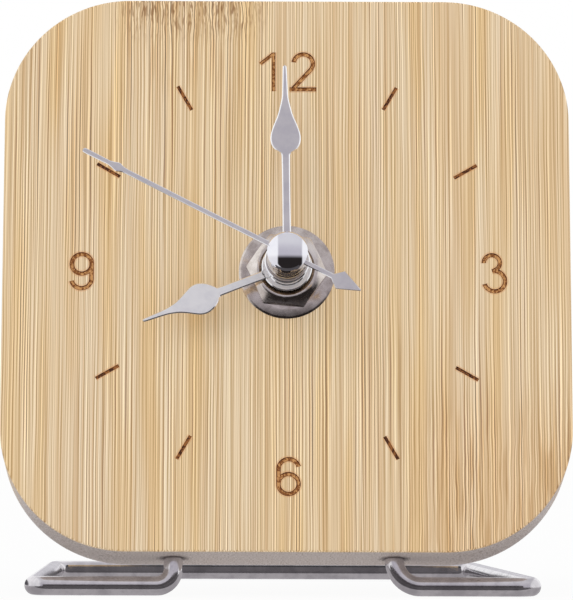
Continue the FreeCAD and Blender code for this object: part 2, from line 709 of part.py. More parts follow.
def movement_cover():
    """The rear cover over the works, with the pivot sockets, the setting hole and two snap hooks."""
    body = new_body("movement_cover")
    edge = "recess_half - cover_gap"
    outline = new_sketch(body, "outline", height="0-cover_inside")
    add_rectangle(outline, f"0 - ({edge})", edge, "recess_bottom + cover_gap", edge)
    pad(body, outline, "cover_thickness", backwards=True)
    hooks = new_sketch(body, "hooks", height="0-cover_inside")
    top = "works_half - hook_gap"
    for middle in ("0-hook_spacing/2", "hook_spacing/2"):
        low, high = f"{middle} - hook_width/2", f"{middle} + hook_width/2"
        add_rectangle(hooks, low, high, f"{top} - hook_thickness", top)
    pad(body, hooks, "hook_length")
    hole = new_sketch(body, "setting_hole", height="0-cover_inside")
    add_circle(hole, "setting_radius + running_gap", "setting_x", "setting_y")
    pocket(body, hole, "cover_thickness")
    sockets = new_sketch(body, "sockets", height="0-cover_inside")
    add_circle(sockets, "second_arbor + running_gap")
    for axis in ("third", "inter", "rotor"):
        add_circle(sockets, "socket_radius", axis + "_x", axis + "_y")
    pocket(body, sockets, "socket_depth")


def battery():
    """The cell lying along the bay, with its button to the right."""
    body = new_body("battery", y="cell_y", z="0-cell_depth")
    left, shoulder, right = "0-cell_length/2", "cell_length/2 - button_length", "cell_length/2"
    profile = [
        (left, "0"),
        (left, "cell_radius"),
        (shoulder, "cell_radius"),
        (shoulder, "button_radius"),
        (right, "button_radius"),
        (right, "0"),
    ]
    turn(body, add_outline(new_sketch(body, "profile"), profile), axis="H_Axis")


def strip_left(pole):
    """Left face of a contact strip, as a formula."""
    return "cell_length/2" if pole == "positive" else "0 - (cell_length/2 + leaf_height + contact_sheet)"


def contacts():
    """The two contact strips, each with a plate at the cell's end and a tail up to the circuit board."""
    for pole in ("positive", "negative"):
        left = strip_left(pole)
        right = f"{left} + contact_sheet"
        low, high = "cell_y - contact_height/2", "cell_y + contact_height/2"
        rear, front = "0 - (cell_depth + contact_depth/2)", "0 - (cell_depth - contact_depth/2)"
        plate = block(pole + "_plate", left, right, low, high, rear, front)
        top = "board_bottom + strip_overlap"
        pieces = [block(pole + "_tail", left, right, low, top, "0-board_depth", "0-strip_depth")]
        if pole == "negative":
            inward = f"{right} + leaf_height - contact_gap"
            low, high = "cell_y - leaf_length/2", "cell_y + leaf_length/2"
            rear, front = "0 - (cell_depth + leaf_length/2)", "0 - (cell_depth - leaf_length/2)"
            pieces.append(block("spring_leaf", right, inward, low, high, rear, front))
        strip = combine("MultiFuse", pole + "_contact", plate, pieces)
        place(keep(strip, pole + "_contact"))


def stator():
    """The stator: an eye round the rotor's magnet, on an arm with a leg at each end."""
    body = new_body("stator")
    left, right = "0-stator_left", "stator_span - stator_left"
    eye_radius = "magnet_radius + magnet_air_gap + stator_wall"
    arm_high = "rotor_y + " + eye_radius
    arm_low = arm_high + " - stator_arm"
    outline = [
        (left, "stator_top"),
        (left, arm_low),
        (right, arm_low),
        (right, "stator_top"),
        (f"{right} - stator_leg", "stator_top"),
        (f"{right} - stator_leg", arm_high),
        (f"{left} + stator_leg", arm_high),
        (f"{left} + stator_leg", "stator_top"),
    ]
    pad(body, add_outline(new_sketch(body, "outline", height="0-core_depth"), outline), "stator_sheet")
    eye = new_sketch(body, "eye", height="0-core_depth")
    pad(body, add_circle(eye, eye_radius, "rotor_x", "rotor_y"), "stator_sheet")
    hole = new_sketch(body, "hole", height="0-second_depth")
    pocket(body, add_circle(hole, "magnet_radius + magnet_air_gap", "rotor_x", "rotor_y"), "stator_sheet")


def sleeve(name, wall, left, right):
    """A box round the coil's core, a wall's thickness outside the bobbin's hole."""
    up = f"core_height/2 + bobbin_gap + {wall}"
    out = f"core_thickness/2 + bobbin_gap + {wall}"
    low, high = f"core_y - ({up})", f"core_y + {up}"
    return block(name, left, right, low, high, f"0 - core_middle - ({out})", f"{out} - core_middle")


def along_core(name, left, radius, length):
    """A round bar or disc on the coil's axis."""
    turned = Rotation(Vector(0, 1, 0), 90)
    return primitive("Cylinder", name, left, "core_y", "0-core_middle", turned, Radius=radius, Height=length)


def coil():
    """The core that bridges the stator's legs, with the bobbin and its winding."""
    core = new_body("coil_core")
    bar = new_sketch(core, "bar", height="0 - (core_depth + core_thickness)")
    left, right = "0-stator_left", "stator_span - stator_left"
    add_rectangle(bar, left, right, "stator_top - core_height", "stator_top")
    pad(core, bar, "core_thickness")

    left, right = "coil_x - coil_length/2", "coil_x + coil_length/2"
    flanges = [
        along_core("left_flange", left, "flange_radius", "flange_thickness"),
        along_core("right_flange", f"{right} - flange_thickness", "flange_radius", "flange_thickness"),
    ]
    spool = combine("MultiFuse", "spool", sleeve("bobbin_tube", "bobbin_wall", left, right), flanges)
    bobbin = combine("Cut", "coil_bobbin", spool, sleeve("bobbin_hole", "0", left, right))
    place(keep(bobbin, "coil_bobbin"))

    inset = "flange_thickness + bobbin_gap"
    left, right = f"{left} + {inset}", f"{right} - ({inset})"
    wound = along_core("wound", left, "coil_radius", f"coil_length - 2*({inset})")
    hollow = sleeve("winding_hole", "bobbin_wall + bobbin_gap", left, right)
    place(keep(combine("Cut", "coil_winding", wound, hollow), "coil_winding"))


def circuit():
    """The circuit board on the cover, with the quartz crystal and the chip's blob on its front."""
    board = new_body("circuit_board")
    edge = "works_half - board_side_gap"
    outline = new_sketch(board, "outline", height="0-cover_inside")
    add_rectangle(outline, f"0 - ({edge})", edge, "board_bottom", "board_top")
    pad(board, outline, "board_thickness")
    middle = "(board_bottom + board_top)/2"
    crystal = new_body("quartz_crystal", "0-crystal_left", middle, "0 - (board_depth - crystal_radius)")
    pad(crystal, add_circle(new_sketch(crystal, "can", "YZ_Plane"), "crystal_radius"), "crystal_length")
    blob = primitive("Cone", "chip_blob", Radius1="blob_radius", Radius2="blob_top", Height="blob_height")
    place(keep(blob, "chip_blob"), "0-blob_left", middle, "0-board_depth")


def train():
    """The rotor and the wheels from it to the centre wheel, in mesh, each on its own arbor."""
    magnet = new_body("rotor_magnet", "rotor_x", "rotor_y")
    rear = "0 - (second_depth + stator_sheet/2 + magnet_thickness/2)"
    ring(magnet, "disc", "magnet_radius", "arbor_radius + press_gap", rear, "magnet_thickness")

    rotor_module = 2 * size("rotor_distance") / (ROTOR_PINION_TEETH + INTER_WHEEL_TEETH)
    inter_module = 2 * size("inter_distance") / (INTER_PINION_TEETH + SECOND_WHEEL_TEETH)
    second_module = 2 * size("third_distance") / (SECOND_PINION_TEETH + THIRD_WHEEL_TEETH)
    third_module = 2 * size("third_distance") / (THIRD_PINION_TEETH + CENTRE_WHEEL_TEETH)
    end = "wheel_thickness + pinion_reach"

    wheel_phase, pinion_phase = mesh_phases("rotor_bearing", ROTOR_PINION_TEETH)
    front = "inter_depth - pinion_reach"
    leaves = toothed_wheel(ROTOR_PINION_TEETH, rotor_module, PINION_SHARES, front, f"inter_depth + {end}",
                           "0", pinion_phase)
    feature_part("rotor_pinion", joined([arbor(), leaves]), "rotor_x", "rotor_y")

    teeth = toothed_wheel(INTER_WHEEL_TEETH, rotor_module, WHEEL_SHARES, "inter_depth",
                          "inter_depth + wheel_thickness", "0", wheel_phase)
    wheel_phase, pinion_phase = mesh_phases("inter_bearing", INTER_PINION_TEETH)
    leaves = toothed_wheel(INTER_PINION_TEETH, inter_module, PINION_SHARES, "second_depth - pinion_reach",
                           "inter_depth", "0", pinion_phase)
    feature_part("intermediate_wheel", joined([arbor(), teeth, leaves]), "inter_x", "inter_y")

    bore = "second_arbor + press_gap"
    teeth = toothed_wheel(SECOND_WHEEL_TEETH, inter_module, WHEEL_SHARES, "second_depth",
                          "second_depth + wheel_thickness", bore, wheel_phase)
    pinion_phase, wheel_phase = mesh_phases("third_bearing", THIRD_WHEEL_TEETH)
    leaves = toothed_wheel(SECOND_PINION_TEETH, second_module, PINION_SHARES, "third_depth - pinion_reach",
                           "second_depth", bore, pinion_phase)
    feature_part("second_wheel", joined([teeth, leaves]))

    teeth = toothed_wheel(THIRD_WHEEL_TEETH, second_module, WHEEL_SHARES, "third_depth",
                          "third_depth + wheel_thickness", "0", wheel_phase)
    wheel_phase, pinion_phase = mesh_phases("third_bearing", THIRD_PINION_TEETH)
    leaves = toothed_wheel(THIRD_PINION_TEETH, third_module, PINION_SHARES, "centre_depth - pinion_reach",
                           "third_depth", "0", pinion_phase)
    feature_part("third_wheel", joined([arbor(), teeth, leaves]), "third_x", "third_y")

    wheel = toothed_wheel(CENTRE_WHEEL_TEETH, third_module, WHEEL_SHARES, "centre_depth",
                          "centre_depth + wheel_thickness", "minute_pipe + running_gap", wheel_phase)
    feature_part("centre_wheel", wheel)

    rod = tube("second_arbor", "0", "0 - (cap_bottom + cap_bore_depth - arbor_end_gap)", "arbor_rear")
    feature_part("second_arbor", rod)


def motion_work():
    """The minute pipe, the minute wheel, the hour wheel and the setting arbor, in mesh."""
    minute_module = 2 * size("minute_distance") / (MINUTE_PINION_TEETH + MINUTE_WHEEL_TEETH)
    hour_module = 2 * size("minute_distance") / (HOUR_PINION_TEETH + HOUR_WHEEL_TEETH)
    setting_module = 2 * size("setting_distance") / (SETTING_PINION_TEETH + MINUTE_WHEEL_TEETH)
    rear = "minute_depth + wheel_thickness"

    pipe_bore = "second_arbor + running_gap"
    pinion_phase, wheel_phase = mesh_phases("minute_bearing", MINUTE_WHEEL_TEETH)
    leaves = toothed_wheel(MINUTE_PINION_TEETH, minute_module, PINION_SHARES, "minute_depth - pinion_reach",
                           rear, pipe_bore, pinion_phase)
    pipe = tube("minute_pipe", pipe_bore, "0 - (minute_top + minute_proud)", "third_depth - wheel_space/2")
    feature_part("minute_arbor", joined([pipe, leaves]))

    bore = "post_radius + running_gap"
    teeth = toothed_wheel(MINUTE_WHEEL_TEETH, minute_module, WHEEL_SHARES, "minute_depth", rear,
                          bore, wheel_phase)
    hour_phase, leaf_phase = mesh_phases("minute_bearing", HOUR_PINION_TEETH)
    leaves = toothed_wheel(HOUR_PINION_TEETH, hour_module, PINION_SHARES, "hour_depth - pinion_reach",
                           "minute_depth", bore, leaf_phase)
    feature_part("minute_wheel", joined([teeth, leaves]), "minute_x", "minute_y")

    bore = "minute_pipe + running_gap"
    teeth = toothed_wheel(HOUR_WHEEL_TEETH, hour_module, WHEEL_SHARES, "hour_depth",
                          "hour_depth + wheel_thickness", bore, hour_phase)
    pipe = tube("hour_pipe", bore, "0-hour_top", "hour_depth + wheel_thickness")
    feature_part("hour_wheel", joined([teeth, pipe]))

    # a leaf of the setting pinion stands in the gap that the minute wheel turns towards it
    bearing = math.radians(size("setting_bearing"))
    step = 2 * math.pi / MINUTE_WHEEL_TEETH
    share = (bearing - wheel_phase) % step / step
    leaf_phase = bearing + math.pi + (share - 1 / 2) * 2 * math.pi / SETTING_PINION_TEETH
    leaves = toothed_wheel(SETTING_PINION_TEETH, setting_module, PINION_SHARES, "minute_depth - pinion_reach",
                           f"{rear} + pinion_reach", "0", leaf_phase)
    knob_back = "case_back + setting_turn_proud + knob_thickness"
    rod = tube("setting_radius", "0", "arbor_front", knob_back)
    feature_part("setting_arbor", joined([rod, leaves]), "setting_x", "setting_y")


def setting_knob():
    """The fluted knob pressed on the end of the setting arbor, behind the cover."""
    body = new_body("setting_knob", "setting_x", "setting_y")
    face = "0 - (case_back + setting_turn_proud)"
    outline = new_sketch(body, "disc", height=face)
    disc = pad(body, add_circle(outline, "knob_radius"), "knob_thickness", backwards=True)
    back = size("0 - (case_back + setting_turn_proud + knob_thickness)")
    dress(body, disc, "Chamfer", edge_names(disc, lambda edge: lies_at(edge, back)), "knob_edge")
    bore = new_sketch(body, "bore", height=face)
    pocket(body, add_circle(bore, "setting_radius + press_gap"), "knob_thickness")
    flute = new_sketch(body, "flute", height=face)
    notch = [
        ("knob_radius + knob_flute", "knob_flute"),
        ("knob_radius - knob_flute", "0"),
        ("knob_radius + knob_flute", "0 - knob_flute"),
    ]
    cut = pocket(body, add_outline(flute, notch), "knob_thickness")
    flutes = body.newObject("PartDesign::PolarPattern", "knob_flutes")
    flutes.Originals = [cut]
    flutes.Axis = (flute, ["N_Axis"])
    flutes.Angle = 360
    flutes.Occurrences = KNOB_FLUTE_COUNT
    body.Tip = flutes
    doc.recompute()


def mirrored_face(side):
    """The face inside a side of edges and its mirror image in the Y axis."""
    axis_plane = Vector(1, 0, 0)
    other = [edge.mirror(Vector(0, 0, 0), axis_plane) for edge in side]
    low, high = side[0].valueAt(side[0].FirstParameter), side[-1].valueAt(side[-1].LastParameter)
    ends = [Part.makeLine(point, Vector(-point.x, point.y, 0)) for point in (low, high)]
    return Part.Face(Part.Wire(Part.__sortEdges__(side + other + ends)))


def cut_from_sheet(face, disc, plane, sheet_thickness, angle):
    """A flat hand: its blade and its disc, pushed to the sheet's thickness and turned past twelve."""
    blade = face.extrude(Vector(0, 0, size(sheet_thickness)))
    blade.translate(Vector(0, 0, size(plane)))
    eye = Part.makeCylinder(size(disc), size(sheet_thickness), Vector(0, 0, size(plane)))
    solid = joined([blade, eye])
    solid.rotate(Vector(0, 0, 0), Vector(0, 0, 1), -size(angle))
    return solid


def spade_hand(name, plane, collet_low, pipe):
    """The hour or minute hand: a stem, a spade and a long tip, with a disc and a collet on its pipe."""
    neck, waist = size(name + "_neck"), size(name + "_waist")
    spade, narrow = size(name + "_spade/2"), size(name + "_waist_width/2")
    stem = Vector(size(name + "_stem/2"), neck, 0)
    end = Vector(narrow, waist, 0)
    inner = [Vector(width * spade, neck + along * (waist - neck), 0) for along, width in SPADE_SHARES]
    curve = Part.BSplineCurve()
    curve.interpolate([stem] + inner + [end])
    side = [
        Part.makeLine(Vector(stem.x, 0, 0), stem),
        curve.toShape(),
        Part.makeLine(end, Vector(size(name + "_tip/2"), size(name + "_length"), 0)),
    ]
    hand = cut_from_sheet(mirrored_face(side), name + "_disc", plane, "hand_sheet", name + "_angle")
    collet = Part.makeCylinder(size(name + "_collet"), size("collet_height"), Vector(0, 0, size(collet_low)))
    bore = tube(f"{pipe} + press_gap", "0", "0 - cap_top", "0")
    feature_part(name + "_hand", joined([hand, collet]).cut(bore))


def second_hand():
    """The second hand: a fine blade with a bead near its tip, and an arrowhead counterweight."""
    stations = [
        ("tail_tip", "0-tail_length"),
        ("tail_width", "0-tail_shoulder"),
        ("second_stem", "0-tail_root"),
        ("second_stem", "0"),
        ("second_thin", "bead_start"),
        ("bead_width", "bead_middle"),
        ("second_thin", "bead_end"),
        ("second_tip", "second_length"),
    ]
    points = [Vector(size(width + "/2"), size(along), 0) for width, along in stations]
    side = [Part.makeLine(first, last) for first, last in zip(points, points[1:])]
    hand = cut_from_sheet(mirrored_face(side), "second_disc", "second_plane", "second_sheet", "second_angle")
    feature_part("second_hand", hand.cut(tube("second_arbor + press_gap", "0", "0 - cap_top", "0")))

    collar = new_body("second_collar")
    bore = "second_arbor + press_gap"
    ring(collar, "tube", "cap_radius", bore, "collar_bottom", "second_plane - collar_bottom")

    ball = primitive("Sphere", "dome_ball", z="cap_top - dome_sphere", Radius="dome_sphere")
    base = primitive("Cylinder", "dome_base", z="cap_bottom", Radius="cap_radius", Height="cap_wall + cap_dome")
    dome = combine("Common", "dome", ball, base)
    hole = primitive("Cylinder", "dome_hole", z="cap_bottom", Radius=bore, Height="cap_bore_depth")
    place(keep(combine("Cut", "second_cap", dome, hole), "second_cap"))


def check_and_write():
    """Stop on any object or shape that failed, then write each sub-part to its own file."""
    doc.recompute()
    for item in doc.Objects:
        if "Invalid" in item.State or "Error" in item.State:
            raise RuntimeError(f"{item.Label} did not build: {item.State}")
    for item in parts:
        if item.Shape.isNull() or not item.Shape.isValid():
            raise RuntimeError(f"{item.Label} has no valid shape")
    os.makedirs("parts", exist_ok=True)
    for item in parts:
        item.Shape.exportStep(f"parts/{item.Label}.step")
    print(len(parts), "sub-parts written")


fill_sheet()
dial_plate()
wire_stand()
dial_washer()
hex_nut()
threaded_bush()
rubber_gasket()
movement_case()
movement_cover()
battery()
contacts()
stator()
coil()
circuit()
train()
motion_work()
setting_knob()
spade_hand("hour", "hour_plane", "hour_plane + hand_sheet", "hour_pipe")
spade_hand("minute", "minute_plane", "minute_plane - collet_height", "minute_pipe")
second_hand()
check_and_write()
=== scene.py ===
"""Looks of a wooden desk clock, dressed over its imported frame.

Sizes in the sub-assemblies are millimetres. A piece of the dial is made in the dial's own frame, x to the
right, y up the dial and z out of it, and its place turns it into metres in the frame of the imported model.
"""

import logging
import math
from collections.abc import Callable, Iterable, Sequence
from dataclasses import dataclass
from enum import Enum

import bmesh
import bpy
from mathutils import Euler, Matrix, Vector


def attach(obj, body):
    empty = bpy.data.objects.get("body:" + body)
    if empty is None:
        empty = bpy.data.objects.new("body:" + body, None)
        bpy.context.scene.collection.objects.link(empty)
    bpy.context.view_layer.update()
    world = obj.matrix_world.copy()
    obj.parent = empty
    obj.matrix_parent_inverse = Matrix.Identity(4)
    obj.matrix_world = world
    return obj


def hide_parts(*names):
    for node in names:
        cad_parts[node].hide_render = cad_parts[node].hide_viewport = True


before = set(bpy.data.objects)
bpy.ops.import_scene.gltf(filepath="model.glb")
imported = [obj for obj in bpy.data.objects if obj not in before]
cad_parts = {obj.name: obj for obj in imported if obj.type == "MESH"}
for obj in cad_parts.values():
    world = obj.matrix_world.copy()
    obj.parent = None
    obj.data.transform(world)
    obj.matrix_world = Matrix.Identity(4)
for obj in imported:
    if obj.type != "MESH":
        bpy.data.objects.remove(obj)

log = logging.getLogger("desk_clock")

Socket = bpy.types.NodeSocket
Item = bpy.types.Object
Shade = tuple[float, ...]
Triple = tuple[float, float, float]
Pair = tuple[float, float]

LEAN = math.radians(13.0)
DIAL_CENTRE = Vector((0.0, -22.2731, 53.7826))
THICKNESS = 12.0
LEGS = (-18.7, 18.0)
WHITE = (1.0, 1.0, 1.0, 1.0)
MILLIMETRE = Matrix.Scale(0.001, 4)
DIAL_TURN = Euler((math.pi / 2 - LEAN, 0.0, 0.0))
ON_DIAL = MILLIMETRE @ Matrix.Translation(DIAL_CENTRE) @ DIAL_TURN.to_matrix().to_4x4()
ON_TABLE = MILLIMETRE


class Body(Enum):
    """The bodies of the frame that new pieces ride on."""

    CLOCK = "clock_body"
    HOUR = "hour_hand_body"
    MINUTE = "minute_hand_body"
    SECOND = "second_hand_body"
    SETTING = "setting_body"


def tone(red: float, green: float, blue: float) -> Shade:
    """Display values, 0 to 255, as the linear colour with alpha that a shader takes."""
    shares = [value / 255 for value in (red, green, blue)]
    linear = [s / 12.92 if s <= 0.04045 else ((s + 0.055) / 1.055) ** 2.4 for s in shares]
    return (*linear, 1.0)


class Graph:
    """A node tree, with a short call for each kind of node that the finishes use."""

    def __init__(self, tree: bpy.types.NodeTree) -> None:
        """Work on a tree."""
        self.tree = tree

    def feed(self, socket: Socket, value: object) -> None:
        """Link a socket to another, or set its value."""
        if isinstance(value, Socket):
            self.tree.links.new(value, socket)
        else:
            socket.default_value = value

    def node(self, kind: str, inputs: dict | None = None, **settings: object) -> bpy.types.Node:
        """Add a node.

        Args:
            kind: the node's type without its ShaderNode prefix.
            inputs: values or links by socket name or number.
            settings: attributes of the node.

        Returns:
            The new node.
        """
        made = self.tree.nodes.new("ShaderNode" + kind)
        for name, value in settings.items():
            setattr(made, name, value)
        for name, value in (inputs or {}).items():
            self.feed(made.inputs[name], value)
        return made

    def place(self, turn: Euler = DIAL_TURN, middle: Vector = DIAL_CENTRE) -> Socket:
        """Object coordinates in millimetres, turned back and centred, as a rule in the dial's frame."""
        where = self.node("TexCoord").outputs["Object"]
        values = {"Vector": where, "Location": middle * 0.001, "Rotation": turn, "Scale": (0.001,) * 3}
        return self.node("Mapping", values, vector_type="TEXTURE").outputs[0]

    def maths(self, operation: str, *values: object) -> Socket:
        """The result of a math node on numbers or sockets."""
        return self.node("Math", dict(enumerate(values)), operation=operation).outputs[0]

    def times(self, first: object, second: object) -> Socket:
        """The product of two numbers or sockets."""
        return self.maths("MULTIPLY", first, second)

    def plus(self, first: object, second: object) -> Socket:
        """The sum of two numbers or sockets."""
        return self.maths("ADD", first, second)

    def minus(self, first: object, second: object) -> Socket:
        """The first number or socket less the second."""
        return self.maths("SUBTRACT", first, second)

    def share_of(self, value: object, share: object, start: object) -> Socket:
        """A start with a share of a value added."""
        return self.maths("MULTIPLY_ADD", value, share, start)

    def stretch(self, vector: Socket, scale: Sequence[float]) -> Socket:
        """A vector with each axis scaled by its own share."""
        return self.node("VectorMath", {0: vector, 1: scale}, operation="MULTIPLY").outputs[0]

    def noise(self, vector: Socket, scale: Triple, detail: float = 2.0, rough: float = 0.5) -> Socket:
        """Noise over a vector, in cycles per millimetre on each axis; it lies mostly in 0.3 to 0.7."""
        values = {"Vector": self.stretch(vector, scale), "Scale": 1.0, "Detail": detail, "Roughness": rough}
        return self.node("TexNoise", values).outputs["Fac"]

    def spread(self, value: object, low: float, high: float, start: float = 0.0, end: float = 1.0) -> Socket:
        """A value mapped smoothly from low and high to start and end."""
        numbers = {"Value": value, "From Min": low, "From Max": high, "To Min": start, "To Max": end}
        return self.node("MapRange", numbers, interpolation_type="SMOOTHSTEP").outputs[0]

    def blend(self, share: object, first: object, second: object, kind: str = "MIX") -> Socket:
        """Two colours mixed by a share."""
        return self.node("Mix", {0: share, 6: first, 7: second}, data_type="RGBA", blend_type=kind).outputs[2]

    def bump(self, height: Socket, depth: float, strength: float = 1.0) -> Socket:
        """The normal of a relief, its depth in millimetres."""
        values = {"Height": height, "Distance": depth * 0.001, "Strength": strength}
        return self.node("Bump", values).outputs[0]


class Surface(Graph):
    """The node tree of a material, round its shader."""

    def __init__(self, name: str, colour: Shade, metal: float, rough: float) -> None:
        """Start a material with its even values on the shader's own sockets.

        Args:
            name: the material's name.
            colour: base colour, linear.
            metal: metallic share.
            rough: roughness.
        """
        self.material = bpy.data.materials.new(name)
        self.material.use_nodes = True
        super().__init__(self.material.node_tree)
        self.shader = self.tree.nodes["Principled BSDF"]
        self.finish(Base_Color=colour, Metallic=metal, Roughness=rough)

    def finish(self, **inputs: object) -> bpy.types.Material:
        """Feed the shader's sockets, named with underscores for spaces, and give the material."""
        for name, value in inputs.items():
            self.feed(self.shader.inputs[name.replace("_", " ")], value)
        return self.material


@dataclass(frozen=True)
class Layer:
    """A shade laid on the wood where noise along the grain is high."""

    scale: Triple
    octaves: float
    low: float
    high: float
    share: float
    shade: Shade


@dataclass(frozen=True)
class Bamboo:
    """Edge-glued bamboo with its fibres up the dial, oiled; burnt shades follow the laser."""

    name: str = "bamboo"
    scorch: float = 0.0
    scorched: Shade = tone(222, 158, 98)
    ground: Shade = tone(229, 201, 160)
    warm: Shade = tone(222, 186, 142)
    line: Shade = tone(196, 154, 101)
    node_mark: Shade = tone(136, 88, 36)
    # greyer tone of the bottom edge: end grain with painted shade
    shaded_end_grain: Shade = tone(196, 185, 182)
    leg_stain: Shade = tone(58, 36, 24)
    layers: tuple[Layer, ...] = (
        Layer((0.16, 0.01, 0.16), 1.0, 0.40, 0.66, 0.6, tone(230, 192, 132)),
        Layer((0.35, 0.02, 0.35), 1.0, 0.35, 0.65, 0.45, tone(240, 222, 194)),
        Layer((0.8, 0.02, 0.8), 1.0, 0.45, 0.68, 0.16, line),
        Layer((3.4, 0.012, 3.4), 0.0, 0.58, 0.70, 0.5, line),
    )
    fibres: Triple = (4.5, 0.022, 4.5)
    fibre_step: float = 0.2
    fibre_shares: Triple = (1.1, 1.4, 1.95)
    strip: float = 4.55
    node_left: Pair = (-31.0, -24.0)
    node_right: Pair = (-2.0, -8.0)
    burl_across: Pair = (14.0, 30.0)
    burl_down: Pair = (-14.0, -34.0)
    joint: float = 18.8

    def material(self) -> bpy.types.Material:
        """Streaks, strips, a node band, burnt rings and an oiled gloss."""
        g = Surface(self.name, self.ground, 0.0, 0.48)
        dial = g.place()
        x, y, z = g.node("SeparateXYZ", {0: dial}).outputs
        node_x = g.times(g.spread(x, *self.node_left), g.spread(x, *self.node_right))
        near_node = g.times(node_x, g.spread(y, 37.0, 46.5))
        below_node = g.times(node_x, g.spread(y, 24.0, 44.0))
        burl = g.times(g.spread(x, *self.burl_across), g.spread(y, *self.burl_down))
        drift = g.minus(g.noise(dial, (0.10, 0.035, 0.1), 2.0), 0.5)
        curl = g.minus(g.noise(dial, (0.42, 0.13, 0.3), 2.0), 0.5)
        reach = g.share_of(burl, 0.45, g.share_of(near_node, 1.5, 0.04))
        bent = g.share_of(drift, 0.45, g.share_of(curl, reach, x))
        grain = g.node("CombineXYZ", {0: bent, 1: y, 2: z}).outputs[0]
        strip = g.maths("FLOOR", g.maths("DIVIDE", g.plus(bent, 2.1), self.strip))
        strip_shade = g.node("TexWhiteNoise", {"W": strip}, noise_dimensions="1D").outputs[0]
        colour = g.blend(g.spread(strip_shade, 0.0, 1.0, 0.0, 0.35), self.ground, self.warm)
        for layer in self.layers:
            share = g.noise(grain, layer.scale, layer.octaves)
            colour = g.blend(g.spread(share, layer.low, layer.high, 0.0, layer.share), colour, layer.shade)
        colour = g.blend(g.times(burl, 0.6), colour, self.warm)
        streaks = g.spread(g.noise(grain, (1.1, 0.07, 1.1), 1.0), 0.48, 0.64, 0.0, 0.6)
        colour = g.blend(g.times(g.maths("MAXIMUM", burl, below_node), streaks), colour, self.line)

        beside = g.node("VectorMath", {0: grain, 1: (self.fibre_step, 0.0, 0.0)}, operation="ADD").outputs[0]
        fine = g.minus(g.noise(grain, self.fibres, 0.0), g.noise(beside, self.fibres, 0.0))
        busy = g.spread(g.noise(grain, (0.22, 0.015, 0.22), 2.0), 0.38, 0.62, 0.62, 1.25)
        busy = g.share_of(burl, 0.3, g.share_of(below_node, 0.55, busy))
        gain = g.times(fine, busy)
        lights = [g.maths("MAXIMUM", g.share_of(gain, share, 1.0), 0.4) for share in self.fibre_shares]
        lights = [g.maths("MINIMUM", light, 1.5) for light in lights]
        colour = g.stretch(colour, g.node("CombineXYZ", dict(enumerate(lights))).outputs[0])

        flecks = g.spread(g.noise(grain, (2.6, 0.36, 2.6), 2.0, 0.6), 0.50, 0.62)
        flecks = g.times(flecks, g.times(node_x, g.spread(y, 38.5, 46.0)))
        colour = g.blend(g.times(flecks, 0.72), colour, self.node_mark)
        from_joint = g.maths("ABSOLUTE", g.minus(bent, self.joint))
        joint = g.times(g.spread(from_joint, 0.13, 0.05), g.spread(y, -6.0, -16.0))
        colour = g.blend(g.times(joint, 0.45), colour, self.node_mark)

        # The bottom edge faces the table and takes a greyer, darker tone: end grain, and painted shade for a
        # face that looks down. end_grain_shade spreads it by the end grain's noise; the pores below are real.
        wall = g.times(g.spread(z, -0.15, -0.4), g.spread(z, 0.05 - THICKNESS, 0.3 - THICKNESS))
        under = g.times(g.spread(y, -30.0, -40.0), wall)
        end_grain = g.noise(dial, (3.2, 3.2, 3.2), 2.0, 0.6)
        end_grain_shade = g.spread(end_grain, 0.35, 0.65, 0.75, 1.0)
        colour = g.blend(g.times(under, end_grain_shade), colour, self.shaded_end_grain)
        pores = g.blend(g.spread(end_grain, 0.54, 0.38), WHITE, (0.48, 0.46, 0.45, 1.0))
        colour = g.blend(under, colour, pores, "MULTIPLY")
        for leg in LEGS:
            aside, deep = g.minus(x, leg), g.plus(z, THICKNESS / 2)
            away = g.maths("SQRT", g.plus(g.times(aside, aside), g.times(deep, deep)))
            ring = g.times(under, g.spread(g.plus(away, g.times(fine, 1.5)), 2.9, 1.9))
            colour = g.blend(g.times(ring, 0.75), colour, self.leg_stain)
        if self.scorch:
            colour = g.blend(self.scorch, colour, self.scorched)
        gloss = g.spread(fine, -0.2, 0.2, 0.42, 0.58)
        return g.finish(Base_Color=colour, Roughness=gloss, Normal=g.bump(fine, 0.05, 0.4))


@dataclass(frozen=True)
class Scorch:
    """Laser-burnt bamboo, broken up by the fibres that it crosses."""

    name: str
    dark: Shade
    light: Shade

    def material(self) -> bpy.types.Material:
        """Burnt brown with lighter spots where the beam stepped."""
        g = Surface(self.name, self.dark, 0.0, 0.75)
        dial = g.place()
        spots = g.noise(dial, (2.4, 2.0, 2.0), 2.0, 0.6)
        fibres = g.noise(dial, (3.5, 0.3, 2.0), 2.0, 0.6)
        colour = g.blend(g.spread(spots, 0.43, 0.58), self.dark, self.light)
        colour = g.blend(g.spread(fibres, 0.50, 0.70, 0.0, 0.6), colour, self.dark)
        return g.finish(Base_Color=colour, Normal=g.bump(spots, 0.06, 0.6))


@dataclass(frozen=True)
class Metal:
    """Bare or plated metal with fine marks and uneven polish."""

    name: str
    colour: Shade
    rough: float
    smear: Shade
    marks: Triple = (3.0, 3.0, 3.0)
    depth: float = 0.002
    metal: float = 1.0

    def material(self) -> bpy.types.Material:
        """The metal's colour with smears, its polish with fine scratches."""
        g = Surface(self.name, self.colour, self.metal, self.rough)
        place = g.place()
        cloud = g.noise(place, (0.35, 0.35, 0.35), 3.0, 0.6)
        scratches = g.noise(place, self.marks, 3.0, 0.65)
        colour = g.blend(g.spread(cloud, 0.35, 0.7), self.colour, self.smear)
        rough = g.share_of(g.spread(scratches, 0.35, 0.7), self.rough * 0.5, self.rough * 0.8)
        return g.finish(Base_Color=colour, Roughness=rough, Normal=g.bump(scratches, self.depth, 0.5))


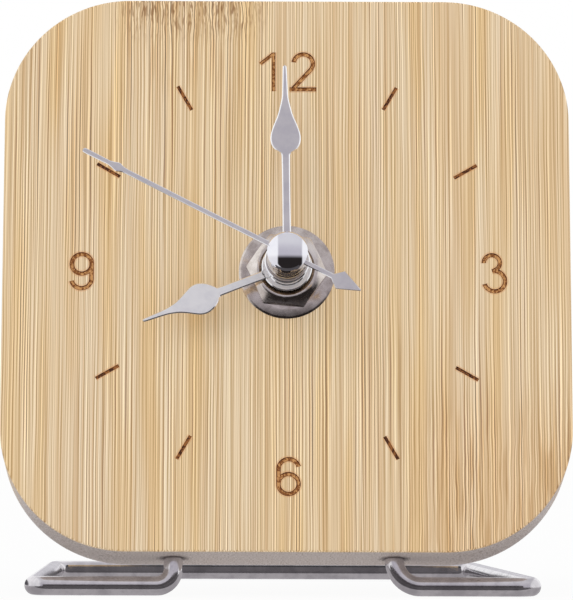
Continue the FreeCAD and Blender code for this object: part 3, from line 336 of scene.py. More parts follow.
@dataclass(frozen=True)
class Moulded:
    """Plastic, rubber, ferrite or lacquer: an even colour with the mould's or the brush's texture."""

    name: str
    colour: Shade
    shade: Shade
    rough: float = 0.45
    grain: float = 3.0
    depth: float = 0.02

    def material(self) -> bpy.types.Material:
        """A clouded colour over a fine spark-eroded texture."""
        g = Surface(self.name, self.colour, 0.0, self.rough)
        place = g.place(Euler(), Vector())
        cloud = g.noise(place, (0.12, 0.12, 0.12), 3.0)
        texture = g.noise(place, (self.grain,) * 3, 3.0, 0.6)
        colour = g.blend(g.spread(cloud, 0.3, 0.7), self.colour, self.shade)
        rough = g.spread(texture, 0.3, 0.7, self.rough - 0.06, self.rough + 0.08)
        return g.finish(Base_Color=colour, Roughness=rough, Normal=g.bump(texture, self.depth, 0.6))


@dataclass(frozen=True)
class Winding:
    """Enamelled copper, wound in close turns along the coil."""

    name: str = "copper_wire"
    colour: Shade = tone(201, 112, 62)
    shade: Shade = tone(120, 58, 30)
    turns: float = 5.0

    def material(self) -> bpy.types.Material:
        """Bands of wire across the coil's length, with a lacquered sheen."""
        g = Surface(self.name, self.colour, 0.9, 0.32)
        place = g.place()
        values = {"Vector": place, "Scale": self.turns, "Distortion": 0.15, "Detail": 1.0}
        wires = g.node("TexWave", values, wave_type="BANDS", bands_direction="X").outputs["Fac"]
        cloud = g.noise(place, (0.8, 0.8, 0.8), 3.0)
        # dark between the turns: painted shade in the grooves between them
        colour = g.blend(g.spread(wires, 0.1, 0.7), self.shade, self.colour)
        colour = g.blend(g.spread(cloud, 0.4, 0.7, 0.0, 0.4), colour, self.shade)
        return g.finish(Base_Color=colour, Normal=g.bump(wires, 0.05, 0.8))


@dataclass(frozen=True)
class CellJacket:
    """The battery's plain printed jacket, with a band at its positive end."""

    name: str = "cell_jacket"
    body: Shade = tone(44, 46, 50)
    band: Shade = tone(196, 148, 78)
    steel: Shade = tone(196, 196, 194)
    band_from: float = 12.0
    band_to: float = 24.2

    def material(self) -> bpy.types.Material:
        """Dark jacket, copper-coloured band, bare steel at the ends."""
        g = Surface(self.name, self.body, 0.6, 0.34)
        place = g.place()
        x = g.node("SeparateXYZ", {0: place}).outputs[0]
        scuffs = g.noise(place, (0.6, 2.0, 2.0), 4.0, 0.7)
        colour = g.blend(g.spread(x, self.band_from - 0.05, self.band_from + 0.05), self.body, self.band)
        colour = g.blend(g.spread(x, self.band_to - 0.05, self.band_to + 0.05), colour, self.steel)
        colour = g.blend(g.spread(x, -24.1, -24.3), colour, self.steel)
        colour = g.blend(g.spread(scuffs, 0.62, 0.8, 0.0, 0.3), colour, self.steel)
        rough = g.spread(scuffs, 0.3, 0.7, 0.26, 0.44)
        return g.finish(Base_Color=colour, Roughness=rough)


@dataclass(frozen=True)
class Laminated:
    """Circuit board: lacquered green over a faint copper pattern."""

    name: str = "circuit_lacquer"
    green: Shade = tone(34, 92, 58)
    track: Shade = tone(74, 132, 74)

    def material(self) -> bpy.types.Material:
        """Tracks drawn by a stretched cell pattern under the lacquer."""
        g = Surface(self.name, self.green, 0.0, 0.3)
        place = g.place()
        values = {"Vector": g.stretch(place, (0.5, 0.9, 0.5)), "Scale": 1.0}
        cells = g.node("TexVoronoi", values, distance="CHEBYCHEV", feature="DISTANCE_TO_EDGE").outputs[0]
        tracks = g.spread(cells, 0.10, 0.06)
        colour = g.blend(tracks, self.green, self.track)
        return g.finish(Base_Color=colour, Normal=g.bump(tracks, 0.04, 0.6))


BAMBOO = Bamboo()
BROWNED = Bamboo("bamboo_browned", scorch=0.38)
BURNT_EDGE = Scorch("burnt_edge", tone(86, 38, 4), tone(142, 82, 28))
BURNT_FLOOR = Scorch("burnt_floor", tone(138, 80, 28), tone(214, 158, 98))
BURNT_MARK = Scorch("burnt_mark", tone(80, 36, 2), tone(168, 106, 50))
STAINLESS = Metal("stainless_wire", tone(232, 229, 231), 0.15, tone(206, 203, 206), (4.0, 4.0, 4.0), 0.004)
NICKEL = Metal("nickel", tone(236, 229, 223), 0.17, tone(206, 196, 188), (1.2, 1.2, 1.2), 0.012)
# a darker, browner copy of the nickel for the washer: painted shade for its dim reflections
SHADED_WASHER = Metal("washer_nickel_shaded", tone(226, 217, 210), 0.2, tone(186, 175, 168), (2.0, 2.0, 2.0), 0.01)
# a darkened copy of the nickel: painted shade for the thread and the countersink, which sit in shade under
# the hands
SHADED_THREAD = Metal("shaded_thread_nickel", tone(150, 134, 120), 0.3, tone(92, 78, 68))
SATIN = Metal("satin_hands", tone(235, 232, 232), 0.36, tone(224, 221, 224), (6.0, 6.0, 6.0), 0.02)
PALE_SATIN = Metal("pale_satin_hand", tone(250, 249, 250), 0.45, tone(240, 239, 242), (6, 6, 6), 0.04, 0.65)
# a brighter, more polished copy of the hands' metal for their bevels: painted highlight along the edges
EDGE_HIGHLIGHT = Metal("edge_highlight_metal", tone(254, 254, 254), 0.12, tone(246, 246, 248))
CHROME = Metal("bright_cap", tone(246, 246, 250), 0.02, tone(240, 240, 246), (1.0, 1.0, 1.0), 0.0002)
COLLAR = Metal("collar_chrome", tone(222, 217, 213), 0.1, tone(200, 192, 184))
ARBOR = Metal("arbor_steel", tone(170, 170, 172), 0.3, tone(140, 140, 144))
STRIP = Metal("spring_strip", tone(206, 204, 198), 0.28, tone(182, 178, 168))
IRON = Metal("soft_iron", tone(128, 130, 136), 0.42, tone(98, 100, 106), (1.0, 6.0, 1.0), 0.01)
CAN = Metal("crystal_can", tone(200, 200, 204), 0.25, tone(176, 176, 182))
CASE = Moulded("case_plastic", tone(30, 30, 32), tone(38, 38, 41), 0.42)
KNOB = Moulded("knob_plastic", tone(26, 26, 28), tone(40, 40, 42), 0.36)
WHEEL = Moulded("wheel_plastic", tone(232, 230, 222), tone(214, 211, 200), 0.4)
BOBBIN = Moulded("bobbin_plastic", tone(214, 220, 222), tone(190, 198, 202), 0.42)
RUBBER = Moulded("gasket_rubber", tone(32, 32, 33), tone(46, 46, 47), 0.82, 1.6, 0.05)
EPOXY = Moulded("chip_epoxy", tone(18, 18, 20), tone(34, 33, 33), 0.22, 0.8, 0.04)
FERRITE = Moulded("rotor_ferrite", tone(52, 52, 56), tone(72, 72, 78), 0.5, 4.0, 0.02)
WINDING = Winding()
CELL = CellJacket()
BOARD = Laminated()

Finish = Bamboo | Scorch | Metal | Moulded | Winding | CellJacket | Laminated


class Paints:
    """The materials made so far, one for each finish."""

    made: dict[str, bpy.types.Material] = {}

    @classmethod
    def of(cls, finish: Finish) -> bpy.types.Material:
        """The finish's material, made the first time that it is asked for."""
        if finish.name not in cls.made:
            cls.made[finish.name] = finish.material()
        return cls.made[finish.name]


@dataclass(frozen=True)
class Run:
    """A straight stretch of a sweep."""

    length: float


@dataclass(frozen=True)
class Turn:
    """A bend of a sweep about an axis, by the right-hand rule, in degrees."""

    radius: float
    degrees: float
    axis: Triple = (0.0, 0.0, 1.0)
    steps: int = 16


def only(kind: type, made: Iterable) -> list:
    """The items of one kind among what an operator made."""
    return [item for item in made if isinstance(item, kind)]


class Shape:
    """A bmesh in millimetres with the operations that the pieces share."""

    def __init__(self) -> None:
        """Start empty."""
        self.mesh = bmesh.new()

    @classmethod
    def turned(cls, profile: Sequence[Pair], steps: int = 96) -> "Shape":
        """A profile spun round the z axis.

        Args:
            profile: pairs of radius and height; it closes on itself or ends on the axis.
            steps: faces round the turn.

        Returns:
            The closed shape.
        """
        shape = cls()
        corners = [shape.mesh.verts.new((radius, 0.0, height)) for radius, height in profile]
        edges = [shape.mesh.edges.new(pair) for pair in zip(corners, corners[1:])]
        bmesh.ops.spin(
            shape.mesh, geom=corners + edges, cent=(0, 0, 0), axis=(0, 0, 1), angle=2 * math.pi,
            steps=steps, use_merge=True, use_duplicate=False
        )
        return shape.closed()

    @classmethod
    def swept(cls, section: Sequence[Pair], start: Matrix, moves: Iterable[Run | Turn]) -> "Shape":
        """A closed section carried along runs and turns.

        Args:
            section: pairs of sideways and upward places across the heading.
            start: matrix whose x axis is the heading, y sideways and z up.
            moves: the runs and turns in order.

        Returns:
            The closed shape.
        """
        shape = cls()
        mesh = shape.mesh
        corners = [mesh.verts.new(start @ Vector((0.0, side, up))) for side, up in section]
        loop = [mesh.edges.new((a, b)) for a, b in zip(corners, corners[1:] + corners[:1])]
        here, heading = start.to_translation(), start.to_3x3().col[0].normalized()
        for move in moves:
            if isinstance(move, Run):
                made = bmesh.ops.extrude_edge_only(mesh, edges=loop)["geom"]
                corners = only(bmesh.types.BMVert, made)
                fresh = set(corners)
                loop = [edge for edge in only(bmesh.types.BMEdge, made) if fresh.issuperset(edge.verts)]
                bmesh.ops.translate(mesh, verts=corners, vec=heading * move.length)
                here = here + heading * move.length
            else:
                axis = Vector(move.axis) * (1 if move.degrees > 0 else -1)
                centre = here + axis.cross(heading).normalized() * move.radius
                angle = math.radians(abs(move.degrees))
                made = bmesh.ops.spin(
                    mesh, geom=corners + loop, cent=centre, axis=axis, angle=angle, steps=move.steps,
                    use_merge=False, use_duplicate=False
                )["geom_last"]
                corners = only(bmesh.types.BMVert, made)
                loop = only(bmesh.types.BMEdge, made)
                turn = Matrix.Rotation(angle, 3, axis)
                here = centre + turn @ (here - centre)
                heading = turn @ heading
        return shape.closed()

    @classmethod
    def block(cls, size: Sequence[float], middle: Sequence[float]) -> "Shape":
        """A box of a size, in millimetres, about its middle."""
        shape = cls()
        place = Matrix.Translation(middle) @ Matrix.Diagonal((*size, 1.0))
        bmesh.ops.create_cube(shape.mesh, size=1.0, matrix=place)
        return shape

    @classmethod
    def of_node(cls, node: str) -> "Shape":
        """A merged copy of a CAD node, in metres, with its flat faces whole."""
        shape = cls()
        shape.mesh.from_mesh(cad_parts[node].data)
        bmesh.ops.remove_doubles(shape.mesh, verts=shape.mesh.verts[:], dist=2e-6)
        bmesh.ops.dissolve_limit(
            shape.mesh, angle_limit=math.radians(0.6), verts=shape.mesh.verts[:], edges=shape.mesh.edges[:]
        )
        for face in shape.mesh.faces:
            face.material_index = 0
        return shape

    def closed(self) -> "Shape":
        """Merge what coincides, close open ends and turn the faces outwards."""
        bmesh.ops.remove_doubles(self.mesh, verts=self.mesh.verts[:], dist=1e-4)
        rims = [edge for edge in self.mesh.edges if edge.is_boundary]
        if rims:
            bmesh.ops.holes_fill(self.mesh, edges=rims, sides=0)
        bmesh.ops.recalc_face_normals(self.mesh, faces=self.mesh.faces[:])
        return self

    def bevelled(self, width: float, segments: int, chosen: Callable[[bmesh.types.BMEdge], bool]) -> "Shape":
        """Round the edges that are chosen, over a width and with a number of faces across it."""
        edges = [edge for edge in self.mesh.edges if chosen(edge)]
        bmesh.ops.bevel(
            self.mesh, geom=edges, offset=width, offset_type="OFFSET", affect="EDGES", segments=segments,
            profile=0.5, material=-1, clamp_overlap=True
        )
        return self

    def thickened(self, depth: float) -> "Shape":
        """Push a flat sheet up into a solid."""
        made = bmesh.ops.extrude_face_region(self.mesh, geom=self.mesh.faces[:], use_keep_orig=True)["geom"]
        top = only(bmesh.types.BMVert, made)
        bmesh.ops.translate(self.mesh, verts=top, vec=(0.0, 0.0, depth))
        bmesh.ops.recalc_face_normals(self.mesh, faces=self.mesh.faces[:])
        return self

    def joined(self, others: Iterable["Shape"]) -> "Shape":
        """Take other shapes into this one as separate shells."""
        for other in others:
            loose = bpy.data.meshes.new("loose")
            other.mesh.to_mesh(loose)
            self.mesh.from_mesh(loose)
            bpy.data.meshes.remove(loose)
            other.mesh.free()
        return self

    def as_object(self, name: str, finishes: Sequence[Finish], place: Matrix = ON_DIAL) -> Item:
        """Make the object, with its place in its mesh.

        Args:
            name: the object's name.
            finishes: finishes by slot.
            place: matrix from the shape's millimetres to the model's metres.

        Returns:
            The linked object.
        """
        self.mesh.transform(place)
        mesh = bpy.data.meshes.new(name)
        self.mesh.to_mesh(mesh)
        self.mesh.free()
        for finish in finishes:
            mesh.materials.append(Paints.of(finish))
        item = bpy.data.objects.new(name, mesh)
        bpy.context.scene.collection.objects.link(item)
        return item


def smooth(item: Item, degrees: float = 32.0) -> Item:
    """Shade an object smooth, and sharp where its faces meet at more than an angle."""
    for face in item.data.polygons:
        face.use_smooth = True
    item.data.set_sharp_from_angle(angle=math.radians(degrees))
    return item


def soften(item: Item, width: float, segments: int, **settings: object) -> Item:
    """Give an object a bevel of a width in millimetres on its sharp edges."""
    step = item.modifiers.new("edges", "BEVEL")
    step.width = width * 0.001
    step.segments = segments
    step.limit_method = "ANGLE"
    step.angle_limit = math.radians(50)
    for name, value in settings.items():
        setattr(step, name, value)
    return item


def settle(item: Item) -> Item:
    """Apply an object's modifiers to its mesh."""
    graph = bpy.context.evaluated_depsgraph_get()
    seen = item.evaluated_get(graph)
    mesh = bpy.data.meshes.new_from_object(seen, preserve_all_data_layers=True, depsgraph=graph)
    old, item.data = item.data, mesh
    item.modifiers.clear()
    bpy.data.meshes.remove(old)
    mesh.name = item.name
    return item


def cut(item: Item, tool: Item, operation: str = "DIFFERENCE") -> None:
    """Cut a tool out of an object, or unite the two, keep the tool's finishes and drop the tool."""
    step = item.modifiers.new("cut", "BOOLEAN")
    step.operation = operation
    step.solver = "MANIFOLD" if operation == "UNION" else "EXACT"
    step.material_mode = "TRANSFER"
    step.object = tool
    settle(item)
    bpy.data.objects.remove(tool)


def weigh(item: Item) -> Item:
    """Let the large flat faces rule the shading beside narrow bevels."""
    step = item.modifiers.new("flat_faces", "WEIGHTED_NORMAL")
    step.keep_sharp = True
    return item


def deliver(item: Item, body: Body, node: str) -> Item:
    """Attach a piece to the body that it rides on, hide the CAD node that it stands for, and report it.

    Args:
        item: the finished piece.
        body: the body that it moves with.
        node: the CAD node that it stands for.

    Returns:
        The piece.
    """
    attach(item, body.value)
    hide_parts(node)
    log.info("%s: %d faces on %s", item.name, len(item.data.polygons), body.value)
    return item


@dataclass
class DialBoard:
    """The bamboo board: rounded corners, sanded rims, holes, and the burnt numerals and hour marks."""

    width: float = 95.0
    thickness: float = THICKNESS
    corner: float = 21.0
    rim: float = 0.4
    shaft: float = 4.3
    leg_hole: float = 1.65
    leg_depth: float = 12.2
    stroke: float = 0.74
    halo: float = 0.22
    depth: float = 0.2
    mark_width: float = 0.56
    marks: tuple[Triple, ...] = (
        (29.8, 32.6, 37.1), (59.7, 32.5, 36.95), (120.0, 32.5, 36.8), (149.9, 32.4, 36.85),
        (209.6, 32.2, 36.75), (240.0, 32.2, 36.6), (300.4, 32.5, 36.95), (330.3, 32.4, 37.2),
    )

    def section(self, width: float) -> list[Pair]:
        """Cross-section of a burnt groove: a shallow browned shelf, sloping walls and a narrower floor."""
        half, shelf, low = width / 2, width / 2 + self.halo, -self.depth
        right = [(shelf, 0.4), (shelf, -0.012), (half, -0.012), (half * 0.66, low)]
        return right + [(-side, up) for side, up in reversed(right)]

    def stroke_of(
        self, x: float, y: float, heading: float, moves: Sequence[Run | Turn], width: float | None = None
    ) -> Shape:
        """The cutter of a stroke that starts right of and above the dial's centre, its heading from x."""
        start = Matrix.Translation((x, y, 0.0)) @ Matrix.Rotation(math.radians(heading), 4, "Z")
        return Shape.swept(self.section(width or self.stroke), start, moves)

    def arc(self, x: float, y: float, radius: float, start: float, sweep: float, after: float = 0.0) -> Shape:
        """A round stroke about a centre, from one bearing through a sweep, with a straight end if asked."""
        at = math.radians(start)
        heading = start + (90.0 if sweep > 0 else -90.0)
        moves: list[Run | Turn] = [Turn(radius, sweep, steps=max(6, int(abs(sweep) / 9)))]
        if after:
            moves.append(Run(after))
        return self.stroke_of(x + radius * math.cos(at), y + radius * math.sin(at), heading, moves)

    def six(self, x: float, y: float, half_turn: bool) -> tuple[Shape, Shape]:
        """The bowl and the tail of a six about its middle, or of a nine, which is a six turned round."""
        sign, turn = (-1.0, 180.0) if half_turn else (1.0, 0.0)
        bowl = self.arc(x + sign * 0.05, y - sign * 1.25, 1.68, 90.0, 360.0)
        tail = self.arc(x + sign * 0.09, y + sign * 1.25, 1.7, turn + 14.0, 166.0, after=2.5)
        return bowl, tail

    def cutters(self) -> list[list[Shape]]:
        """The numerals' strokes, in two groups whose members don't touch."""
        stem = self.stroke_of(-2.27, 31.5, 90.0, [Run(6.85)], 0.6)
        flag = self.stroke_of(-2.35, 38.1, 219.5, [Run(2.85)], 0.6)
        two = self.arc(2.72, 36.38, 1.64, 172.0, -213.5, after=4.35)
        base = self.stroke_of(0.4, 31.86, 0.0, [Run(4.55)], 0.7)
        upper = self.arc(34.28, 1.72, 1.34, 182.0, -262.0)
        lower = self.arc(34.72, -1.42, 1.75, 104.0, -268.0)
        six = self.six(0.29, -34.85, False)
        nine = self.six(-34.19, 0.06, True)
        return [[stem, two, upper, six[0], nine[0]], [flag, base, lower, six[1], nine[1]]]

    def hour_marks(self) -> list[Shape]:
        """The eight straight marks between the numerals."""
        shapes = []
        for bearing, inner, outer in self.marks:
            angle = math.radians(90.0 - bearing)
            at = (inner * math.cos(angle), inner * math.sin(angle))
            shapes.append(self.stroke_of(*at, 90.0 - bearing, [Run(outer - inner)], self.mark_width))
        return shapes

    def holes(self) -> Shape:
        """The shaft's hole and the two blind holes for the legs."""
        far, top = self.thickness + 1.0, self.leg_depth
        hole = Shape.turned([(0.0, 1.0), (self.shaft, 1.0), (self.shaft, -far), (0.0, -far)], 64)
        upright = Matrix.Rotation(-math.pi / 2, 4, "X")
        legs = []
        for x in LEGS:
            leg = Shape.turned([(0.0, top), (self.leg_hole, top), (self.leg_hole, -1.0), (0.0, -1.0)], 40)
            leg.mesh.transform(Matrix.Translation((x, -self.width / 2, -self.thickness / 2)) @ upright)
            legs.append(leg)
        return hole.joined(legs)

    @staticmethod
    def climb(edge: bmesh.types.BMEdge) -> float:
        """How far an edge rises from the dial."""
        return abs(edge.verts[0].co.z - edge.verts[1].co.z)

    def burn(self, item: Item, shapes: Sequence[Shape], wall: Finish, floor: Finish) -> None:
        """Cut a group of strokes and lay the burnt finishes on the grooves' walls and floors."""
        tool = Shape().joined(shapes)
        browned, walls, floors, shelf = range(4)
        for face in tool.mesh.faces:
            high = face.calc_center_median().z
            upright = abs(face.normal.z) < 0.25
            face.material_index = browned if upright or high > 0 else (shelf if high > -0.05 else walls)
            if high < -self.depth + 0.01:
                face.material_index = floors
        cut(item, tool.as_object("strokes", (BROWNED, wall, floor, BROWNED)))

    def build(self) -> Item:
        """Shape the board, bore it, burn the dial and dress it."""
        middle = (0.0, 0.0, -self.thickness / 2)
        board = Shape.block((self.width, self.width, self.thickness), middle)
        board.bevelled(self.corner, 28, lambda edge: self.climb(edge) > 1.0)
        board.bevelled(self.rim, 3, lambda edge: self.climb(edge) < 1e-4 and edge.calc_face_angle(0.0) > 1.0)
        item = board.as_object("bamboo_board", (BAMBOO,))
        cut(item, self.holes().as_object("bores", (BAMBOO,)))
        for group in self.cutters():
            self.burn(item, group, BURNT_EDGE, BURNT_FLOOR)
        self.burn(item, self.hour_marks(), BURNT_MARK, BURNT_MARK)
        smooth(item, 34.0)
        weigh(item)
        return deliver(item, Body.CLOCK, "dial_plate")


@dataclass
class WireStand:
    """The stand: one length of round wire, from leg to leg by way of a loop on the table."""

    radius: float = 1.6
    sides: int = 40
    route: tuple[Triple, ...] = (
        (-18.7, -24.413, 17.843),
        (-18.7, -28.1625, 1.6),
        (-41.85, -28.1625, 1.6),
        (-41.0, 35.8375, 1.6),
        (33.6, 35.8375, 1.6),
        (41.15, -28.1625, 1.6),
        (18.0, -28.1625, 1.6),
        (18.0, -24.413, 17.843),
    )
    bends: tuple[float, ...] = (2.8, 2.6, 2.6, 2.6, 2.6, 4.4)

    def build(self) -> Item:
        """Carry a circle along the route's runs and bends."""
        points = [Vector(point) for point in self.route]
        moves: list[Run | Turn] = []
        start = 0.0
        for before, corner, after, bend in zip(points, points[1:], points[2:], self.bends):
            first, second = (corner - before), (after - corner)
            turn = first.angle(second)
            trim = bend * math.tan(turn / 2)
            moves.append(Run(first.length - trim - start))
            axis = first.cross(second).normalized()
            moves.append(Turn(bend, math.degrees(turn), tuple(axis), 14))
            start = trim
        moves.append(Run((points[-1] - points[-2]).length - start))
        heading = (points[1] - points[0]).normalized()
        side = heading.cross(Vector((1.0, 0.0, 0.0))).normalized()
        up = heading.cross(side)
        place = Matrix.Translation(points[0]) @ Matrix((heading, side, up)).transposed().to_4x4()
        angles = [step * math.tau / self.sides for step in range(self.sides)]
        circle = [(self.radius * math.cos(angle), self.radius * math.sin(angle)) for angle in angles]
        wire = Shape.swept(circle, place, moves)
        item = smooth(wire.as_object("wire_loop", (STAINLESS,), ON_TABLE), 40.0)
        return deliver(item, Body.CLOCK, "wire_stand")


@dataclass
class Clamp:
    """Washer, nut and threaded bush in front of the dial."""

    washer: float = 8.0
    washer_bore: float = 4.2
    sheet: float = 0.6
    dish: float = 0.4
    flats: float = 11.8
    nut: float = 2.2
    turn: float = -5.3
    countersink: float = 0.75
    bush: float = 3.95
    bush_bore: float = 2.55
    bush_end: float = 3.3
    pitch: float = 0.5

    def washer_piece(self) -> Item:
        """A stamped washer, dished outside the nut, with a rolled rim and a broken bore."""
        bore, rim, high, low = self.washer_bore, self.washer, self.sheet, self.sheet - self.dish
        profile = [(bore, 0.0), (bore, high - 0.08), (bore + 0.08, high), (6.3, high), (6.6, high - 0.07)]
        profile += [(rim - 0.36, low + 0.025), (rim - 0.3, low), (rim - 0.14, low - 0.08)]
        profile += [(rim, low - 0.17), (rim, 0.0), (bore, 0.0)]
        item = smooth(Shape.turned(profile, 128).as_object("plated_washer", (SHADED_WASHER,)))
        return deliver(item, Body.CLOCK, "dial_washer")

    def nut_piece(self) -> Item:
        """A hexagon with its corners turned off on the front, its rims broken and a countersunk bore."""
        shape = Shape()
        radius = self.flats / 2 / math.cos(math.pi / 6)
        turn = Matrix.Rotation(math.radians(self.turn + 30), 4, "Z")
        place = Matrix.Translation((0, 0, self.sheet)) @ turn
        bmesh.ops.create_circle(shape.mesh, cap_ends=True, segments=6, radius=radius, matrix=place)
        shape.thickened(self.nut)
        shape.bevelled(0.14, 2, lambda edge: True)
        item = shape.as_object("nut_front", (NICKEL,))
        top, reach = self.sheet + self.nut, self.flats
        inner = self.flats / 2 - 0.7
        low = top - (reach - inner) * math.tan(math.radians(40))
        bore = self.bush + 0.05
        mouth = self.bush + self.countersink
        crown = [(mouth, top + 1), (mouth, top), (inner, top - 0.15), (reach, low - 0.15), (reach, top + 1)]
        cut(item, Shape.turned([*crown, crown[0]]).as_object("cone", (NICKEL,)))
        wide, lip = bore + self.countersink, top + 0.02
        drill = [(0, 0), (bore, 0), (bore, top - 0.12), (wide, lip), (0, lip)]
        # the countersink's faces take the darkened nickel: painted shade
        cut(item, Shape.turned(drill).as_object("drill", (SHADED_THREAD,)))
        smooth(item, 28.0)
        weigh(item)
        return deliver(item, Body.CLOCK, "hex_nut")

    def bush_piece(self) -> Item:
        """The bush: thread at the front, a collar against the case and a tail into it."""
        outer, root, end = self.bush, self.bush - 0.26, self.bush_end
        profile = [(self.bush_bore, end), (outer - 0.3, end), (outer - 0.06, end - 0.24)]
        height = end - 0.3
        while height > -9.0:
            profile += [(outer, height - 0.03), (outer, height - 0.09), (root, height - self.pitch / 2)]
            height -= self.pitch
        collar, step, tail = -12.1, -13.0, -14.45
        profile += [(outer, height), (outer, collar), (5.5, collar), (5.5, step), (3.5, step), (3.5, tail)]
        profile += [(self.bush_bore, tail), (self.bush_bore, end)]
        item = smooth(Shape.turned(profile, 72).as_object("bush_thread", (SHADED_THREAD,)), 24.0)
        return deliver(item, Body.CLOCK, "threaded_bush")

    def build(self) -> None:
        """Make the three."""
        self.washer_piece()
        self.nut_piece()
        self.bush_piece()


@dataclass(frozen=True)
class Blade:
    """A hand of sheet metal: its outline, how far it is turned, its disc and its collet."""

    name: str
    node: str
    body: Body
    finish: Metal
    angle: float
    plane: float
    sheet: float
    bore: float
    bevel: float
    eye: tuple[Pair, ...]
    stations: tuple[Pair, ...]
    curved: bool = True

    def rows(self) -> list[Pair]:
        """The stations, along the hand and half its width there, with finer ones between them."""
        rows = []
        last = len(self.stations) - 1
        for n, (here, there) in enumerate(zip(self.stations, self.stations[1:])):
            before, after = self.stations[max(n - 1, 0)], self.stations[min(n + 2, last)]
            span = there[0] - here[0]
            leave = (there[1] - before[1]) / (there[0] - before[0]) * span
            arrive = (after[1] - here[1]) / (after[0] - here[0]) * span
            steps = math.ceil(span / 0.3) if self.curved else 1
            for step in range(steps):
                t = step / steps
                rise = there[1] - here[1]
                bend = t * (1 - t) * ((1 - t) * (leave - rise) - t * (arrive - rise)) if self.curved else 0.0
                rows.append((here[0] + span * t, here[1] + rise * t + bend))
        return rows + [self.stations[last]]

    def build(self) -> Item:
        """Cut the blade, join its eye, bore it and break its edges."""
        rows = self.rows()
        sheet = Shape()
        bmesh.ops.create_grid(sheet.mesh, x_segments=1, y_segments=len(rows) - 1, size=1.0)
        for corner in sheet.mesh.verts:
            along, half = rows[round((corner.co.y + 1) / 2 * (len(rows) - 1))]
            corner.co = Vector((math.copysign(half, corner.co.x), along, self.plane))
        place = ON_DIAL @ Matrix.Rotation(-math.radians(self.angle), 4, "Z")
        item = sheet.thickened(self.sheet).as_object(self.name, (self.finish, EDGE_HIGHLIGHT), place)
        cut(item, Shape.turned(self.eye).as_object("eye", (self.finish,)), "UNION")
        hole = Shape.turned([(0.0, 0.0), (self.bore, 0.0), (self.bore, 20.0), (0.0, 20.0)], 64)
        cut(item, hole.as_object("hole", (self.finish,)))
        # the bevel faces take slot 1, the painted edge highlight
        soften(item, self.bevel, 1, use_clamp_overlap=False, material=1)
        smooth(settle(item), 35.0)
        return deliver(item, self.body, self.node)


HOUR_BLADE = Blade(
    "hour_blade", "hour_hand", Body.HOUR, PALE_SATIN,
    angle=248.5, plane=3.75, sheet=0.4, bore=2.51, bevel=0.16,
    eye=((0.0, 3.75), (4.2, 3.75), (4.2, 4.15), (3.2, 4.15), (3.2, 5.35), (0.0, 5.35)),
    stations=(
        (0.0, 0.76), (12.1, 0.76), (12.45, 1.1), (13.0, 1.66), (13.8, 2.24), (14.6, 2.58), (15.3, 2.69),
        (16.2, 2.56), (17.2, 2.1), (18.3, 1.5), (19.5, 0.97), (20.6, 0.68), (21.6, 0.51), (22.8, 0.42),
        (25.4, 0.28), (25.75, 0.13),
    ),
)
MINUTE_BLADE = Blade(
    "minute_blade", "minute_hand", Body.MINUTE, SATIN,
    angle=359.2, plane=7.6, sheet=0.4, bore=1.56, bevel=0.19,
    eye=((0.0, 6.4), (2.4, 6.4), (2.4, 7.6), (3.75, 7.6), (3.75, 8.0), (0.0, 8.0)),
    stations=(
        (0.0, 0.71), (18.15, 0.71), (18.5, 1.0), (18.95, 1.66), (19.8, 2.3), (20.9, 2.53), (21.95, 2.4),
        (23.25, 1.98), (25.0, 1.28), (26.7, 0.83), (28.0, 0.56), (28.9, 0.49), (31.1, 0.41), (33.5, 0.31),
        (33.8, 0.15),
    ),
)
SECOND_BLADE = Blade(
    "second_blade", "second_hand", Body.SECOND, SATIN,
    angle=297.5, plane=12.5, sheet=0.25, bore=0.51, bevel=0.1,
    eye=((0.0, 12.5), (2.8, 12.5), (2.8, 12.75), (0.0, 12.75)),
    stations=(
        (-13.65, 0.12), (-9.8, 1.72), (-8.35, 0.42), (29.9, 0.41), (30.8, 0.5), (31.4, 0.76),
        (31.8, 0.76), (32.4, 0.56), (33.2, 0.38), (37.3, 0.42), (37.9, 0.38), (38.15, 0.18),
    ),
    curved=False,
)


@dataclass
class Hands:
    """The three hands with the collar and the bright cap over them."""

    blades: tuple[Blade, ...] = (HOUR_BLADE, MINUTE_BLADE, SECOND_BLADE)
    cap: float = 3.35
    cap_low: float = 12.75
    cap_high: float = 15.45
    ball: float = 4.307
    collar_low: float = 8.6
    collar_high: float = 12.5
    arbor: float = 0.51

    def collar_piece(self) -> Item:
        """The tube under the second hand, its lower rim turned out a little."""
        low, high, wide, waist = self.collar_low, self.collar_high, self.cap, self.cap - 0.12
        profile = [(self.arbor, low), (wide - 0.15, low), (wide, low + 0.15), (wide, low + 0.7)]
        profile += [(waist, low + 0.8), (waist, high - 0.5), (wide, high - 0.4), (wide, high)]
        profile += [(self.arbor, high), (self.arbor, low)]
        item = smooth(Shape.turned(profile).as_object("cap_collar", (COLLAR,)), 24.0)
        return deliver(item, Body.SECOND, "second_collar")

    def cap_piece(self) -> Item:
        """The polished dome on its short wall, with a blind hole for the arbor."""
        middle = self.cap_high - self.ball
        start = math.acos(self.cap / self.ball)
        arc = [start + (math.pi / 2 - start) * step / 28 for step in range(29)]
        dome = [(self.ball * math.cos(angle), middle + self.ball * math.sin(angle)) for angle in arc]
        dome[-1] = (0.0, self.cap_high)
        hole = self.cap_low + 1.2
        foot = [(self.cap - 0.1, self.cap_low), (self.cap, self.cap_low + 0.1)]
        profile = [(0.0, hole), (self.arbor, hole), (self.arbor, self.cap_low), *foot, *dome]
        item = smooth(Shape.turned(profile).as_object("cap_dome", (CHROME,)), 30.0)
        return deliver(item, Body.SECOND, "second_cap")

    def build(self) -> None:
        """Make the hands, the collar and the cap."""
        for blade in self.blades:
            blade.build()
        self.collar_piece()
        self.cap_piece()


